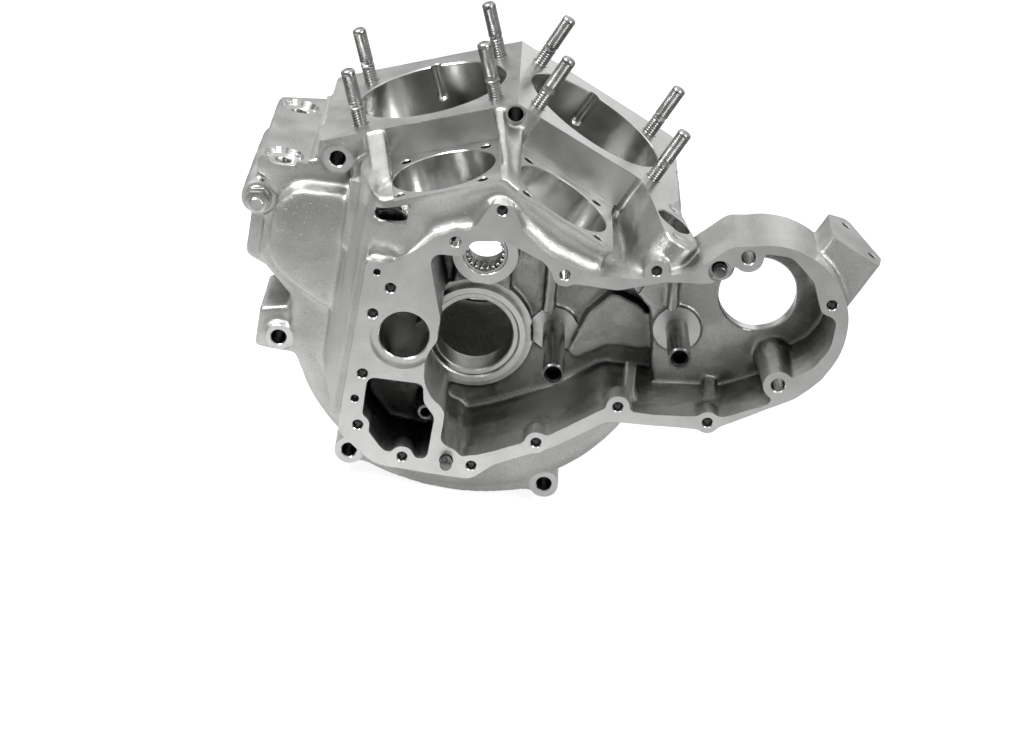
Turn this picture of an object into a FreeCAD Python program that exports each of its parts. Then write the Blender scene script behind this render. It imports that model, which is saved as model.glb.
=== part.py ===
import FreeCAD, Part
import math
import os

# Crankcase of a 45 degree V-twin engine, in millimetres.
# +X is the front of the engine, +Y its left side, +Z is up along the middle of the V.
# The origin is on the crankshaft axis, in the joint plane between the two casting halves.

Vec = FreeCAD.Vector

# Crank chamber
DRUM_RADIUS = 124.0
CHAMBER_RADIUS = 111.0
RIGHT_WALL_Y = -66.0
LEFT_WALL_Y = 64.0
WALL = 9.0
DRUM_EDGE_ROUND = 8.0
SUMP_RADIUS = 156.0
SUMP_DEPTH = 128.0
SUMP_HALF_WIDTH = 72.0

# Cylinder decks
BANK_ANGLE = 22.5
DECK_HEIGHT = 145.0
DECK_RIGHT_Y = -62.0
DECK_LEFT_Y = 69.0
REAR_DECK_REACH = 71.0
FRONT_DECK_REACH = 67.0
SPIGOT_RADIUS = 50.3
SPIGOT_NOTCH_RADIUS = 4.0
SPIGOT_NOTCH_DEPTH = 24.0
STUD_PITCH = 90.0
STUD_RADIUS = 4.75
STUD_SEAT_RADIUS = 4.5
STUD_SEAT_STEP = 0.5
STUD_MOUTH_RADIUS = 5.4
STUD_LENGTH = 58.0
STUD_DEPTH = 20.0
STUD_TOP_ROUND = 1.4
STUD_WAIST = 0.45
STUD_WAIST_HEIGHT = 12.0
STUD_WAIST_LENGTH = 3.0

# Gear chest
GASKET_Y = -145.0
CHEST_FLOOR_Y = -72.0
SHELF_FLOOR_Y = -97.0
SHELF_BACK_Y = -88.0
SHELF_WALL = 8.0
TONGUE_Y = -82.0
GENERATOR_X = 174.5
GENERATOR_Z = 70.0
GENERATOR_BORE_RADIUS = 25.3
LOOP_RADIUS = 53.3
COVER_SCREW_RADIUS = 3.2
COVER_SCREW_DEPTH = 18.0
SCREW_LUG_RADIUS = 7.6
SCREW_LUG_DEPTH = 15.0
SCREW_LUG_TAPER = 14.0

# Shaft seats in the gear chest
PINION_BOSS_RADIUS = 39.0
PINION_STEP_RADIUS = 34.0
PINION_FACE_Y = -84.0
PINION_STEP = 5.0
PINION_BORE_RADIUS = 29.6
PINION_RACE_WALL = 4.0
PINION_RACE_WIDTH = 22.0
CAM_X = -3.0
CAM_Z = 60.0
CAM_FACE_Y = -87.0
CAM_BOSS_RADIUS = 21.5
CAM_BORE_RADIUS = 14.3
CAM_SHELL_WALL = 1.0
CAM_BEARING_WIDTH = 16.0
NEEDLE_RADIUS = 1.2
NEEDLE_COUNT = 20
IDLER_REAR = (51.6, 10.7)
IDLER_FRONT = (128.0, 37.0)
IDLER_PAD_RADIUS = 15.5
IDLER_PAD_HEIGHT = 3.0
IDLER_RADIUS = 7.4
IDLER_SEAT_DEPTH = 12.0
IDLER_SEAT_RADIUS = 6.4
IDLER_HOLE_RADIUS = 4.6

# Breather and oil pocket
BREATHER_X = -45.7
BREATHER_Z = 17.0
BREATHER_RADIUS = 15.8
BREATHER_RING_RADIUS = 21.5
BREATHER_FACE_Y = -141.0
BREATHER_DEPTH = 66.0
POCKET_DEPTH = 52.0

# Threaded oil port behind the chest rim
PORT_X = -66.5
PORT_Y = -130.0
PORT_TOP_Z = 92.0
PORT_RADIUS = 8.0
PORT_BOSS_RADIUS = 12.5
PORT_DEPTH = 15.0

# Tappet pads
PAD_REAR_HEIGHT = 123.5
PAD_FRONT_HEIGHT = 119.0
PAD_FRONT_Y = -143.0
WINDOW_RADIUS = 33.0
WINDOW_OFFSET = 8.5
WINDOW_Y = -103.5
REAR_WINDOW_DEPTH = 44.0
FRONT_WINDOW_DEPTH = 36.0
PAD_SCREW_PITCH_T = 52.5
PAD_SCREW_PITCH_Y = 60.0
PAD_SCREW_RADIUS = 3.2
PAD_SCREW_DEPTH = 16.0

# Timer flange
TIMER_T = 59.5
TIMER_Y = -103.0
TIMER_BORE_RADIUS = 11.9
TIMER_SCREW_PITCH = 48.0
TIMER_SCREW_RADIUS = 2.6

# Bolts that hold the halves together
BOLT_FACE_Y = -62.0
BOLT_LEFT_Y = 58.0
BOLT_RADIUS = 4.8
BOLT_HOLE_RADIUS = 5.1
BOLT_BOSS_RADIUS = 10.0
TOP_BOLT = (0.0, 148.5)
UPPER_BOLT = (-107.8, 96.5)
REAR_BOLT = (-127.5, -36.4)
LOWER_BOLT_X = 68.0
LOWER_BOLT_Z = -111.0
CLAMP_BOLT = (-155.0, 57.5)
CLAMP_FACE_Y = -56.0
CLAMP_BACK_Y = 58.0
CLAMP_BOSS_RADIUS = 11.5
CLAMP_HEAD_ACROSS = 14.3
CLAMP_HEAD_HEIGHT = 6.4
CLAMP_WASHER_RADIUS = 9.0
CLAMP_WASHER_THICKNESS = 1.8

# Rear mounting lug
LUG_TOP_Z = 90.0
LUG_BOTTOM_Z = 14.0
LUG_REAR_X = -158.5
LUG_RIGHT_Y = -64.0
LUG_LEFT_Y = 56.0
LUG_HOLE_X = -142.4
LUG_HOLE_RIGHT_Y = -54.0
LUG_HOLE_LEFT_Y = 43.0
LUG_HOLE_RADIUS = 5.4
LUG_COUNTERBORE_RADIUS = 12.8
LUG_COUNTERBORE_DEPTH = 3.0
LUG_HOLE_DEPTH = 21.0
LUG_FLANGE = 14.0

# Front lug on the generator loop
FRONT_LUG_HEIGHT = 198.0
FRONT_LUG_ROOT = 160.0
FRONT_LUG_HOLE_RADIUS = 3.0
FRONT_LUG_HOLE_DEPTH = 16.0
FRONT_LUG_HOLES = [(157.0, -85.0), (174.0, -113.0)]

# Left shaft hub
HUB_RADIUS = 52.0
HUB_FACE_Y = 84.0
HUB_RACE_RADIUS = 36.5
HUB_RACE_WALL = 5.0
HUB_RACE_WIDTH = 12.6
HUB_SPACER_WIDTH = 2.0
HUB_RIB_COUNT = 6
HUB_RIB_THICKNESS = 8.0

# Dowels
DOWEL_RADIUS = 4.0
DOWEL_LENGTH = 22.0
DOWEL_STANDS_OUT = 8.0
DOWEL_SEAT_RADIUS = 3.7
DOWEL_MOUTH_RADIUS = 4.6
MOUTH_DEPTH = 1.0
COVER_DOWEL_LOWER = (-4.5, -63.2)
COVER_DOWEL_UPPER = (140.1, 99.6)
COVER_DOWEL_UPPER_SINK = 6.0
COVER_DOWEL_RECESS_RADIUS = 7.0
CASE_DOWELS = [("case_dowel_front", 101.0, 62.0), ("case_dowel_rear", -99.0, -64.0)]

FIT = 0.02
OVERRUN = 4.0

# Screw holes of the gear cover, on the gasket face
COVER_SCREWS = [
    (-59.4, 49.2), (-67.6, 29.9), (-67.4, -12.5), (-64.7, -48.9), (-33.0, -66.1), (12.0, -63.9),
    (50.1, -39.4), (96.7, -4.2), (155.1, -4.0), (213.7, 90.8), (101.6, 92.4), (46.1, 78.8),
    (0.0, 113.5), (-24.8, 87.6),
]
COVER_VENTS = [(-69.4, 58.3, 2.2), (-69.5, -30.8, 2.6)]
GENERATOR_BOLTS = [(155.5, 112.1), (193.3, 30.4)]
GENERATOR_BOLT_RADIUS = 4.4
GENERATOR_LUG_RADIUS = 9.5


def rounded_outline(corners, place):
    """Closed wire through corners (a, b, radius); place turns a and b into a point."""
    pts = [place(a, b) for a, b, _ in corners]
    count = len(corners)
    entries = []
    for i, (_, _, radius) in enumerate(corners):
        here = pts[i]
        to_last = (pts[i - 1] - here)
        to_next = (pts[(i + 1) % count] - here)
        half = to_last.getAngle(to_next) / 2.0
        if radius <= 0 or abs(half - math.pi / 2) < 0.01:
            entries.append((here, None, here))
            continue
        reach = radius / math.tan(half)
        reach = min(reach, 0.49 * to_last.Length, 0.49 * to_next.Length)
        radius = reach * math.tan(half)
        start = here + to_last.normalize() * reach
        end = here + to_next.normalize() * reach
        middle = (to_last + to_next).normalize()
        crown = here + middle * (radius / math.sin(half) - radius)
        entries.append((start, crown, end))
    edges = []
    for i, (start, crown, end) in enumerate(entries):
        if crown is not None:
            edges.append(Part.Arc(start, crown, end).toShape())
        following = entries[(i + 1) % count][0]
        if end.distanceToPoint(following) > 1e-6:
            edges.append(Part.LineSegment(end, following).toShape())
    return Part.Wire(edges)


def prism_y(corners, y_near, y_far):
    """Solid with an outline in X and Z, between two Y planes."""
    wire = rounded_outline(corners, lambda x, z: Vec(x, y_near, z))
    return Part.Face(wire).extrude(Vec(0, y_far - y_near, 0))


def disc_y(x, z, radius, y_near, y_far):
    """Round solid along Y."""
    return Part.makeCylinder(radius, y_far - y_near, Vec(x, y_near, z), Vec(0, 1, 0))


def box(x0, x1, y0, y1, z0, z1):
    return Part.makeBox(x1 - x0, y1 - y0, z1 - z0, Vec(x0, y0, z0))


class Bank:
    """Frame of one cylinder: t runs across the deck, y along the crank, h up the cylinder."""

    def __init__(self, angle):
        lean = math.radians(angle)
        self.up = Vec(math.sin(lean), 0, math.cos(lean))
        self.across = Vec(math.cos(lean), 0, -math.sin(lean))

    def point(self, t, y, h):
        return self.across * t + self.up * h + Vec(0, y, 0)

    def prism(self, corners, h_low, h_high):
        """Solid with an outline in t and y, between two heights."""
        wire = rounded_outline(corners, lambda t, y: self.point(t, y, h_low))
        return Part.Face(wire).extrude(self.up * (h_high - h_low))

    def disc(self, t, y, radius, h_low, h_high):
        return Part.makeCylinder(radius, h_high - h_low, self.point(t, y, h_low), self.up)

    def web(self, corners, t_low, t_high):
        """Solid with an outline in y and h, between two places across the deck."""
        wire = rounded_outline(corners, lambda y, h: self.point(t_low, y, h))
        return Part.Face(wire).extrude(self.across * (t_high - t_low))


REAR = Bank(-BANK_ANGLE)
FRONT = Bank(BANK_ANGLE)


def fused(shapes):
    return shapes[0].multiFuse(shapes[1:]).removeSplitter()


def cut_each(body, tools):
    """Takes the tools away one after the other, which is steadier than all at once."""
    for tool in tools:
        body = body.cut(tool)
    return body


def as_solid(shape):
    """The single solid of a finished casting."""
    solids = shape.Solids
    if len(solids) != 1:
        print("solids", len(solids), [round(s.Volume) for s in solids])
    return max(solids, key=lambda solid: solid.Volume)


def drum(wall_y):
    """Half of the crank chamber's outside: a disc with a rounded edge."""
    side = 1 if wall_y > 0 else -1
    depth = abs(wall_y)
    edge = DRUM_EDGE_ROUND
    corner = DRUM_RADIUS - edge + edge * math.sin(math.pi / 4)
    corner_y = depth - edge + edge * math.sin(math.pi / 4)
    axis_start = Vec(0, 0, 0)
    rim = Vec(DRUM_RADIUS, 0, 0)
    rim_end = Vec(DRUM_RADIUS, side * (depth - edge), 0)
    face_start = Vec(DRUM_RADIUS - edge, side * depth, 0)
    axis_end = Vec(0, side * depth, 0)
    edges = [
        Part.LineSegment(axis_start, rim).toShape(),
        Part.LineSegment(rim, rim_end).toShape(),
        Part.Arc(rim_end, Vec(corner, side * corner_y, 0), face_start).toShape(),
        Part.LineSegment(face_start, axis_end).toShape(),
        Part.LineSegment(axis_end, axis_start).toShape(),
    ]
    face = Part.Face(Part.Wire(edges))
    solid = face.revolve(Vec(0, 0, 0), Vec(0, 1, 0), 360)
    return Part.Solid(solid.Shells[0]) if not solid.Solids else solid.Solids[0]


def sump(y_near, y_far, shrink=0.0):
    """The flatter, deeper bottom of the chamber."""
    radius = SUMP_RADIUS - shrink
    centre_z = SUMP_RADIUS - SUMP_DEPTH
    half_width = SUMP_HALF_WIDTH - shrink
    disc = disc_y(0, centre_z, radius, y_near, y_far)
    window = box(-half_width, half_width, y_near, y_far, -2 * SUMP_DEPTH, -SUMP_DEPTH / 2)
    return disc.common(window)


def deck_corners():
    """The two outer ends of the decks and the ridge between them, in X and Z."""
    left = REAR.point(-REAR_DECK_REACH, 0, DECK_HEIGHT)
    right = FRONT.point(FRONT_DECK_REACH, 0, DECK_HEIGHT)
    ridge = DECK_HEIGHT / math.cos(math.radians(BANK_ANGLE))
    return left, ridge, right


def deck_block(y_near, y_far):
    """Body under the two decks, down to the chamber."""
    left, ridge, right = deck_corners()
    side = DRUM_RADIUS - 1.0
    corners = [
        (0, ridge, 0), (right.x, right.z, 3), (side, right.z / 2, 10), (side, 0, 0),
        (-side, 0, 0), (-side, LUG_TOP_Z - 10, 4), (left.x, left.z, 2),
    ]
    return prism_y(corners, y_near, y_far)


def case_bolt_places():
    lower = [(-LOWER_BOLT_X, LOWER_BOLT_Z), (LOWER_BOLT_X, LOWER_BOLT_Z)]
    return [TOP_BOLT, UPPER_BOLT, REAR_BOLT] + lower


def bolt_bosses(y_near, y_far, radius):
    return [disc_y(x, z, radius, y_near, y_far) for x, z in case_bolt_places()]


def rear_lug(y_near, y_far, back_cut):
    """Rear mounting lug with its flat top; back_cut slants the far end."""
    corners = [
        (LUG_REAR_X, LUG_BOTTOM_Z, 6), (LUG_REAR_X, LUG_TOP_Z, 3),
        (-DRUM_RADIUS + 14, LUG_TOP_Z, 0), (-DRUM_RADIUS + 30, -LUG_BOTTOM_Z, 0),
        (LUG_REAR_X + 26, LUG_BOTTOM_Z - 10, 6),
    ]
    body = prism_y(corners, y_near, y_far)
    if y_near < 0:
        flange_under = LUG_TOP_Z - LUG_FLANGE
        inner_x = -DRUM_RADIUS + WALL
        body = body.cut(box(LUG_REAR_X - 1, inner_x, y_near - 1, CLAMP_FACE_Y + 6, -9, flange_under))
    if back_cut:
        corner = Vec(LUG_REAR_X - 1, y_far - back_cut, 0)
        wedge = Part.Face(Part.makePolygon([
            corner, corner + Vec(3 * back_cut, back_cut + OVERRUN, 0),
            corner + Vec(0, back_cut + OVERRUN, 0), corner]))
        body = body.cut(wedge.extrude(Vec(0, 0, 2 * LUG_TOP_Z)))
    return body


def lug_hole(y):
    through = Part.makeCylinder(
        LUG_HOLE_RADIUS, LUG_HOLE_DEPTH + OVERRUN,
        Vec(LUG_HOLE_X, y, LUG_TOP_Z - LUG_HOLE_DEPTH), Vec(0, 0, 1))
    seat = Part.makeCylinder(
        LUG_COUNTERBORE_RADIUS, LUG_COUNTERBORE_DEPTH + OVERRUN,
        Vec(LUG_HOLE_X, y, LUG_TOP_Z - LUG_COUNTERBORE_DEPTH), Vec(0, 0, 1))
    return [through, seat]


def chamber_cuts(y_near, y_far):
    """Room for the flywheels, and the two cylinder spigot bores that open into it."""
    cuts = [disc_y(0, 0, CHAMBER_RADIUS, y_near, y_far), sump(y_near, y_far, WALL)]
    half = box(-300, 300, min(y_near, 0), max(y_far, 0), -300, 300)
    for bank in (REAR, FRONT):
        cuts.append(bank.disc(0, 0, SPIGOT_RADIUS, 0, DECK_HEIGHT + OVERRUN).common(half))
    return cuts


def spigot_notches():
    """Small round notch in the left wall of each spigot bore."""
    low = DECK_HEIGHT - SPIGOT_NOTCH_DEPTH
    high = DECK_HEIGHT + OVERRUN
    return [bank.disc(0, SPIGOT_RADIUS, SPIGOT_NOTCH_RADIUS, low, high) for bank in (REAR, FRONT)]


def stud_places():
    half = STUD_PITCH / 2
    return [(-half, half), (half, half), (half, -half), (-half, -half)]


def stud_holes(side):
    """Tapped holes of the cylinder studs that lie in one casting half."""
    cuts = []
    low = DECK_HEIGHT - STUD_DEPTH - 2
    high = DECK_HEIGHT + OVERRUN
    for bank in (REAR, FRONT):
        for t, y in stud_places():
            if y * side > 0:
                cuts.append(bank.disc(t, y, STUD_SEAT_RADIUS + FIT, low, high))
                cuts.append(bank.disc(t, y, STUD_MOUTH_RADIUS, DECK_HEIGHT - MOUTH_DEPTH, high))
    return cuts


def bolt_holes():
    places = case_bolt_places() + [CLAMP_BOLT]
    return [disc_y(x, z, BOLT_HOLE_RADIUS, -100, 100) for x, z in places]


def dowel_holes():
    half = DOWEL_LENGTH / 2
    return [disc_y(x, z, DOWEL_RADIUS + FIT, -half, half) for _, x, z in CASE_DOWELS]


def cover_dowel_seats():
    """Place of each gear cover dowel, and the Y of the face that it stands on."""
    return [(COVER_DOWEL_LOWER, GASKET_Y), (COVER_DOWEL_UPPER, GASKET_Y + COVER_DOWEL_UPPER_SINK)]


def chest_outline():
    """Outside of the gear chest on the gasket face, without its screw lugs and loop."""
    return [
        (-77, 64, 3), (-59, 66, 12), (-36, 90, 16), (-15, 98, 10), (-8, 115, 8), (8, 115, 8),
        (15, 103, 14), (33, 90, 20), (62, 81.5, 20), (92, 85, 10), (124, 96, 16), (144, 117.5, 12),
        (GENERATOR_X - 6, GENERATOR_Z + LOOP_RADIUS - 0.5, 0),
        (GENERATOR_X + LOOP_RADIUS - 0.5, GENERATOR_Z, 0),
        (220, 40, 12), (206, 23, 24), (158, -9, 30), (92, -15.5, 12), (62, -40, 12), (26, -60, 12),
        (13, -74, 12), (-50, -75, 30), (-77, -56, 8),
    ]


def cavity_outline():
    """Inside of the gear chest, before the screw lugs are put back."""
    return [
        (-40, 77, 6), (-18, 79, 4), (-15, 90, 5), (4, 94, 8), (32, 85, 8), (42, 74, 10), (80, 75, 20),
        (108, 86, 12), (138, 91, 10), (150, 107, 8), (163, 116.5, 8), (182, 117.5, 10), (199, 104, 16),
        (208, 85, 4), (219, 81.5, 5), (220, 62, 24), (212, 46, 14), (202, 38, 5), (190, 16, 12),
        (165, 2, 20), (122, -5, 10), (88, -7, 12), (58, -32, 12), (24, -51, 12), (4, -60, 10),
        (-11, -50, 6), (-11, -30, 6), (-25, -14, 8), (-25, 34, 12),
    ]


def shelf_outline():
    """The higher part of the chest floor, under the generator end."""
    return [
        (92, 62, 4), (109, 45, 10), (115, 22, 10), (117, 8, 5), (124, -14, 0), (260, -14, 0),
        (260, 150, 0), (92, 150, 0),
    ]


def tongue_outline():
    """Raised pad on the chest floor between the two idler shafts."""
    return [
        (84, 47, 4), (103, 42, 6), (111, 35, 4), (116, 14, 5), (112, 10, 3), (88, 9.5, 6), (78, 2, 6),
        (68, -6, 4), (63, 0, 3), (70, 28, 12),
    ]


def pocket_outline():
    return [
        (-64, -14, 5), (-28, -12, 4), (-26, -25, 6), (-17, -34, 5), (-17, -65, 4), (-25, -65, 4),
        (-46, -64, 8), (-63, -46, 8),
    ]


def screw_lug(x, z):
    """Lug round a screw hole of the gear cover, tapering into the wall behind it."""
    straight = disc_y(x, z, SCREW_LUG_RADIUS, GASKET_Y, GASKET_Y + SCREW_LUG_DEPTH)
    taper = Part.makeCone(
        SCREW_LUG_RADIUS, SCREW_LUG_RADIUS / 4, SCREW_LUG_TAPER,
        Vec(x, GASKET_Y + SCREW_LUG_DEPTH, z), Vec(0, 1, 0))
    return straight.fuse(taper)


def long_lug(x, z, y_near):
    """Lug of a screw that passes right through, wider towards the chest floor."""
    depth = SHELF_FLOOR_Y + 1 - y_near
    wide = GENERATOR_LUG_RADIUS + 2.5
    return Part.makeCone(GENERATOR_LUG_RADIUS, wide, depth, Vec(x, y_near, z), Vec(0, 1, 0))


def pad_corners(t_low, t_high):
    y_back = DECK_RIGHT_Y + 6
    return [(t_low, PAD_FRONT_Y, 5), (t_high, PAD_FRONT_Y, 5), (t_high, y_back, 0), (t_low, y_back, 0)]


def pad_cuts(bank, height, offset, depth):
    """Tappet window and its four screw holes."""
    cuts = [bank.disc(offset, WINDOW_Y, WINDOW_RADIUS, height - depth, height + OVERRUN)]
    for side_t in (-0.5, 0.5):
        for side_y in (-0.5, 0.5):
            t = offset + side_t * PAD_SCREW_PITCH_T
            y = WINDOW_Y + side_y * PAD_SCREW_PITCH_Y
            cuts.append(bank.disc(t, y, PAD_SCREW_RADIUS, height - PAD_SCREW_DEPTH, height + OVERRUN))
    return cuts


def sloping_fin(corners):
    """Thin wall beside a tappet pad; its top falls from the deck to the pad.

    The corners are t and y in the frame of the rear cylinder.
    """
    body = REAR.prism(corners, 92, DECK_HEIGHT)
    top = [
        (DECK_RIGHT_Y + 6, DECK_HEIGHT + 0.5, 0), (DECK_RIGHT_Y + 2, DECK_HEIGHT - 0.5, 0),
        (PAD_FRONT_Y - 1, PAD_REAR_HEIGHT, 0), (PAD_FRONT_Y - 1, DECK_HEIGHT + 10, 0),
        (DECK_RIGHT_Y + 6, DECK_HEIGHT + 10, 0)]
    return body.cut(REAR.web(top, -80, 80))


def centre_wedge():
    """Body between the two tappet pads, falling from the top bolt boss to the pads."""
    y_back = DECK_RIGHT_Y + 6
    top = TOP_BOLT[1] - BOLT_HOLE_RADIUS - 2
    low = 100
    profile = [
        (y_back, low, 0), (PAD_FRONT_Y, low, 0), (PAD_FRONT_Y, 130, 0), (DECK_RIGHT_Y - 2, top, 4),
        (y_back, top, 0)]
    wire = rounded_outline(profile, lambda y, h: Vec(-5, y, h))
    return Part.Face(wire).extrude(Vec(11, 0, 0))


def rear_side():
    """Rear flank of the right half: domed wall, rib, lug and the land for the oil fitting."""
    dome = prism_y([
        (-142, 27, 8), (-143, 62, 16), (-130, 77, 14), (-97, 79, 10), (-78, 50, 0), (-76, -4, 0),
        (-100, -2, 6), (-132, 16, 8)], -76, -30)
    shoulder = prism_y([
        (LUG_REAR_X + 8, 66, 6), (LUG_REAR_X + 6, LUG_TOP_Z, 10), (-100, LUG_TOP_Z, 4), (-90, 60, 0)],
        LUG_RIGHT_Y, -30)
    flank = prism_y([
        (-149, 16, 6), (-149, 61, 6), (-100, 83, 6), (-76, 60, 0), (-76, -12, 0), (-126, -6, 6)], -57, -10)
    foot = prism_y([
        (-143, -49, 2), (-143, -20, 2), (-116, -12, 8), (-76, -12, 0), (-76, -49, 0)], -57, 0)
    rib = Part.makeCylinder(16.5, 40, Vec(-116, -50, -32), Vec(1, 0, 0))
    land = box(-96, -70, -100, DECK_RIGHT_Y + 6, 50, 96)
    return [dome, shoulder, flank, foot, rib, land]


def chest_side():
    """Rear wall of the gear chest, leaning out towards the dome, with its machined rail."""
    y_rail = GASKET_Y + 6
    plan = Part.makePolygon([
        Vec(-30, y_rail, 0), Vec(-82, y_rail, 0), Vec(-95, -75, 0), Vec(-95, -57, 0), Vec(-30, -57, 0),
        Vec(-30, y_rail, 0)])
    column = Part.Face(plan).extrude(Vec(0, 0, 300))
    column.translate(Vec(0, 0, -150))
    side = prism_y([
        (-96, -47, 6), (-96, 98, 4), (-82, 111, 2), (-77, 107, 3), (-34, 90, 10), (-34, 40, 0),
        (-60, -47, 0)], y_rail, -57)
    port = Part.makeCylinder(PORT_BOSS_RADIUS, PORT_TOP_Z - 62, Vec(PORT_X, PORT_Y, 62), Vec(0, 0, 1))
    return [side.common(column), port]


def wedge_rib(x, z, height):
    """Small rib that runs from a screw lug to the chest floor."""
    near = GASKET_Y + SCREW_LUG_DEPTH
    side = Part.makePolygon([
        Vec(x - 4, near, z), Vec(x - 4, SHELF_FLOOR_Y + 1, z), Vec(x - 4, SHELF_FLOOR_Y + 1, z + height),
        Vec(x - 4, near, z)])
    return Part.Face(side).extrude(Vec(8, 0, 0))


def chest_room():
    """Hollow of the gear chest with what stands in it left out."""
    outline = cavity_outline()
    room = prism_y(outline, GASKET_Y - OVERRUN, CHEST_FLOOR_Y)
    keep = [screw_lug(x, z) for x, z in COVER_SCREWS]
    keep.append(prism_y(shelf_outline(), SHELF_FLOOR_Y, CHEST_FLOOR_Y + 1))
    keep.append(prism_y(tongue_outline(), TONGUE_Y, CHEST_FLOOR_Y + 1))
    keep += [long_lug(x, z, GASKET_Y) for x, z in GENERATOR_BOLTS]
    x, z = COVER_DOWEL_UPPER
    keep.append(long_lug(x, z, GASKET_Y + COVER_DOWEL_UPPER_SINK))
    x, z = COVER_DOWEL_LOWER
    keep.append(disc_y(x, z, GENERATOR_LUG_RADIUS, GASKET_Y, CHEST_FLOOR_Y + 1))
    floor = CHEST_FLOOR_Y + 1
    keep.append(disc_y(BREATHER_X, BREATHER_Z, BREATHER_RING_RADIUS, BREATHER_FACE_Y, floor))
    # bosses that stand on the chest floor
    step_y = PINION_FACE_Y + PINION_STEP
    keep.append(disc_y(0, 0, PINION_BOSS_RADIUS, step_y, floor))
    keep.append(disc_y(0, 0, PINION_STEP_RADIUS, PINION_FACE_Y, floor))
    keep.append(disc_y(CAM_X, CAM_Z, CAM_BOSS_RADIUS, CAM_FACE_Y, floor))
    keep.append(prism_y([(-20, 24, 0), (-20, 60, 4), (14, 60, 4), (20, 24, 0)], step_y, floor))
    keep.append(prism_y([(-6, 30, 1), (-6, 44, 0), (3, 44, 0), (3, 30, 1)], PINION_FACE_Y, floor))
    x, z = IDLER_REAR
    keep.append(disc_y(x, z, IDLER_PAD_RADIUS, CHEST_FLOOR_Y - IDLER_PAD_HEIGHT, floor))
    rib = [(42, 24, 0), (36, 90, 0), (42, 90, 0), (49, 24, 0)]
    keep.append(prism_y(rib, CHEST_FLOOR_Y - 10, floor))
    x, z = IDLER_FRONT
    keep.append(disc_y(x, z, IDLER_PAD_RADIUS, SHELF_FLOOR_Y - IDLER_PAD_HEIGHT, SHELF_FLOOR_Y + 1))
    rib = [(119, 50, 0), (114, 95, 0), (119, 95, 0), (125, 50, 0)]
    keep.append(prism_y(rib, SHELF_FLOOR_Y - 9, SHELF_FLOOR_Y + 1))
    keep.append(wedge_rib(157, -2, 9))
    keep.append(wedge_rib(104, -6, 14))
    return cut_each(room, keep)


def pocket_room():
    """Oil pocket beside the breather bore, with the bar and the drilled post inside it."""
    y_far = GASKET_Y + POCKET_DEPTH
    room = prism_y(pocket_outline(), GASKET_Y - OVERRUN, y_far)
    keep = [screw_lug(x, z) for x, z in (COVER_SCREWS[3], COVER_SCREWS[4])]
    bar = Part.makeCylinder(7.0, 60, Vec(-75, -124, -17), Vec(1, 0, 0))
    keep.append(bar.cut(disc_y(-38, -24, 6.0, GASKET_Y, y_far)))
    keep.append(disc_y(-22.5, -43, 6.5, GASKET_Y + 22, y_far))
    return room.cut(keep).fuse(disc_y(-22.5, -43, 3.0, GASKET_Y + 12, y_far))


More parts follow.
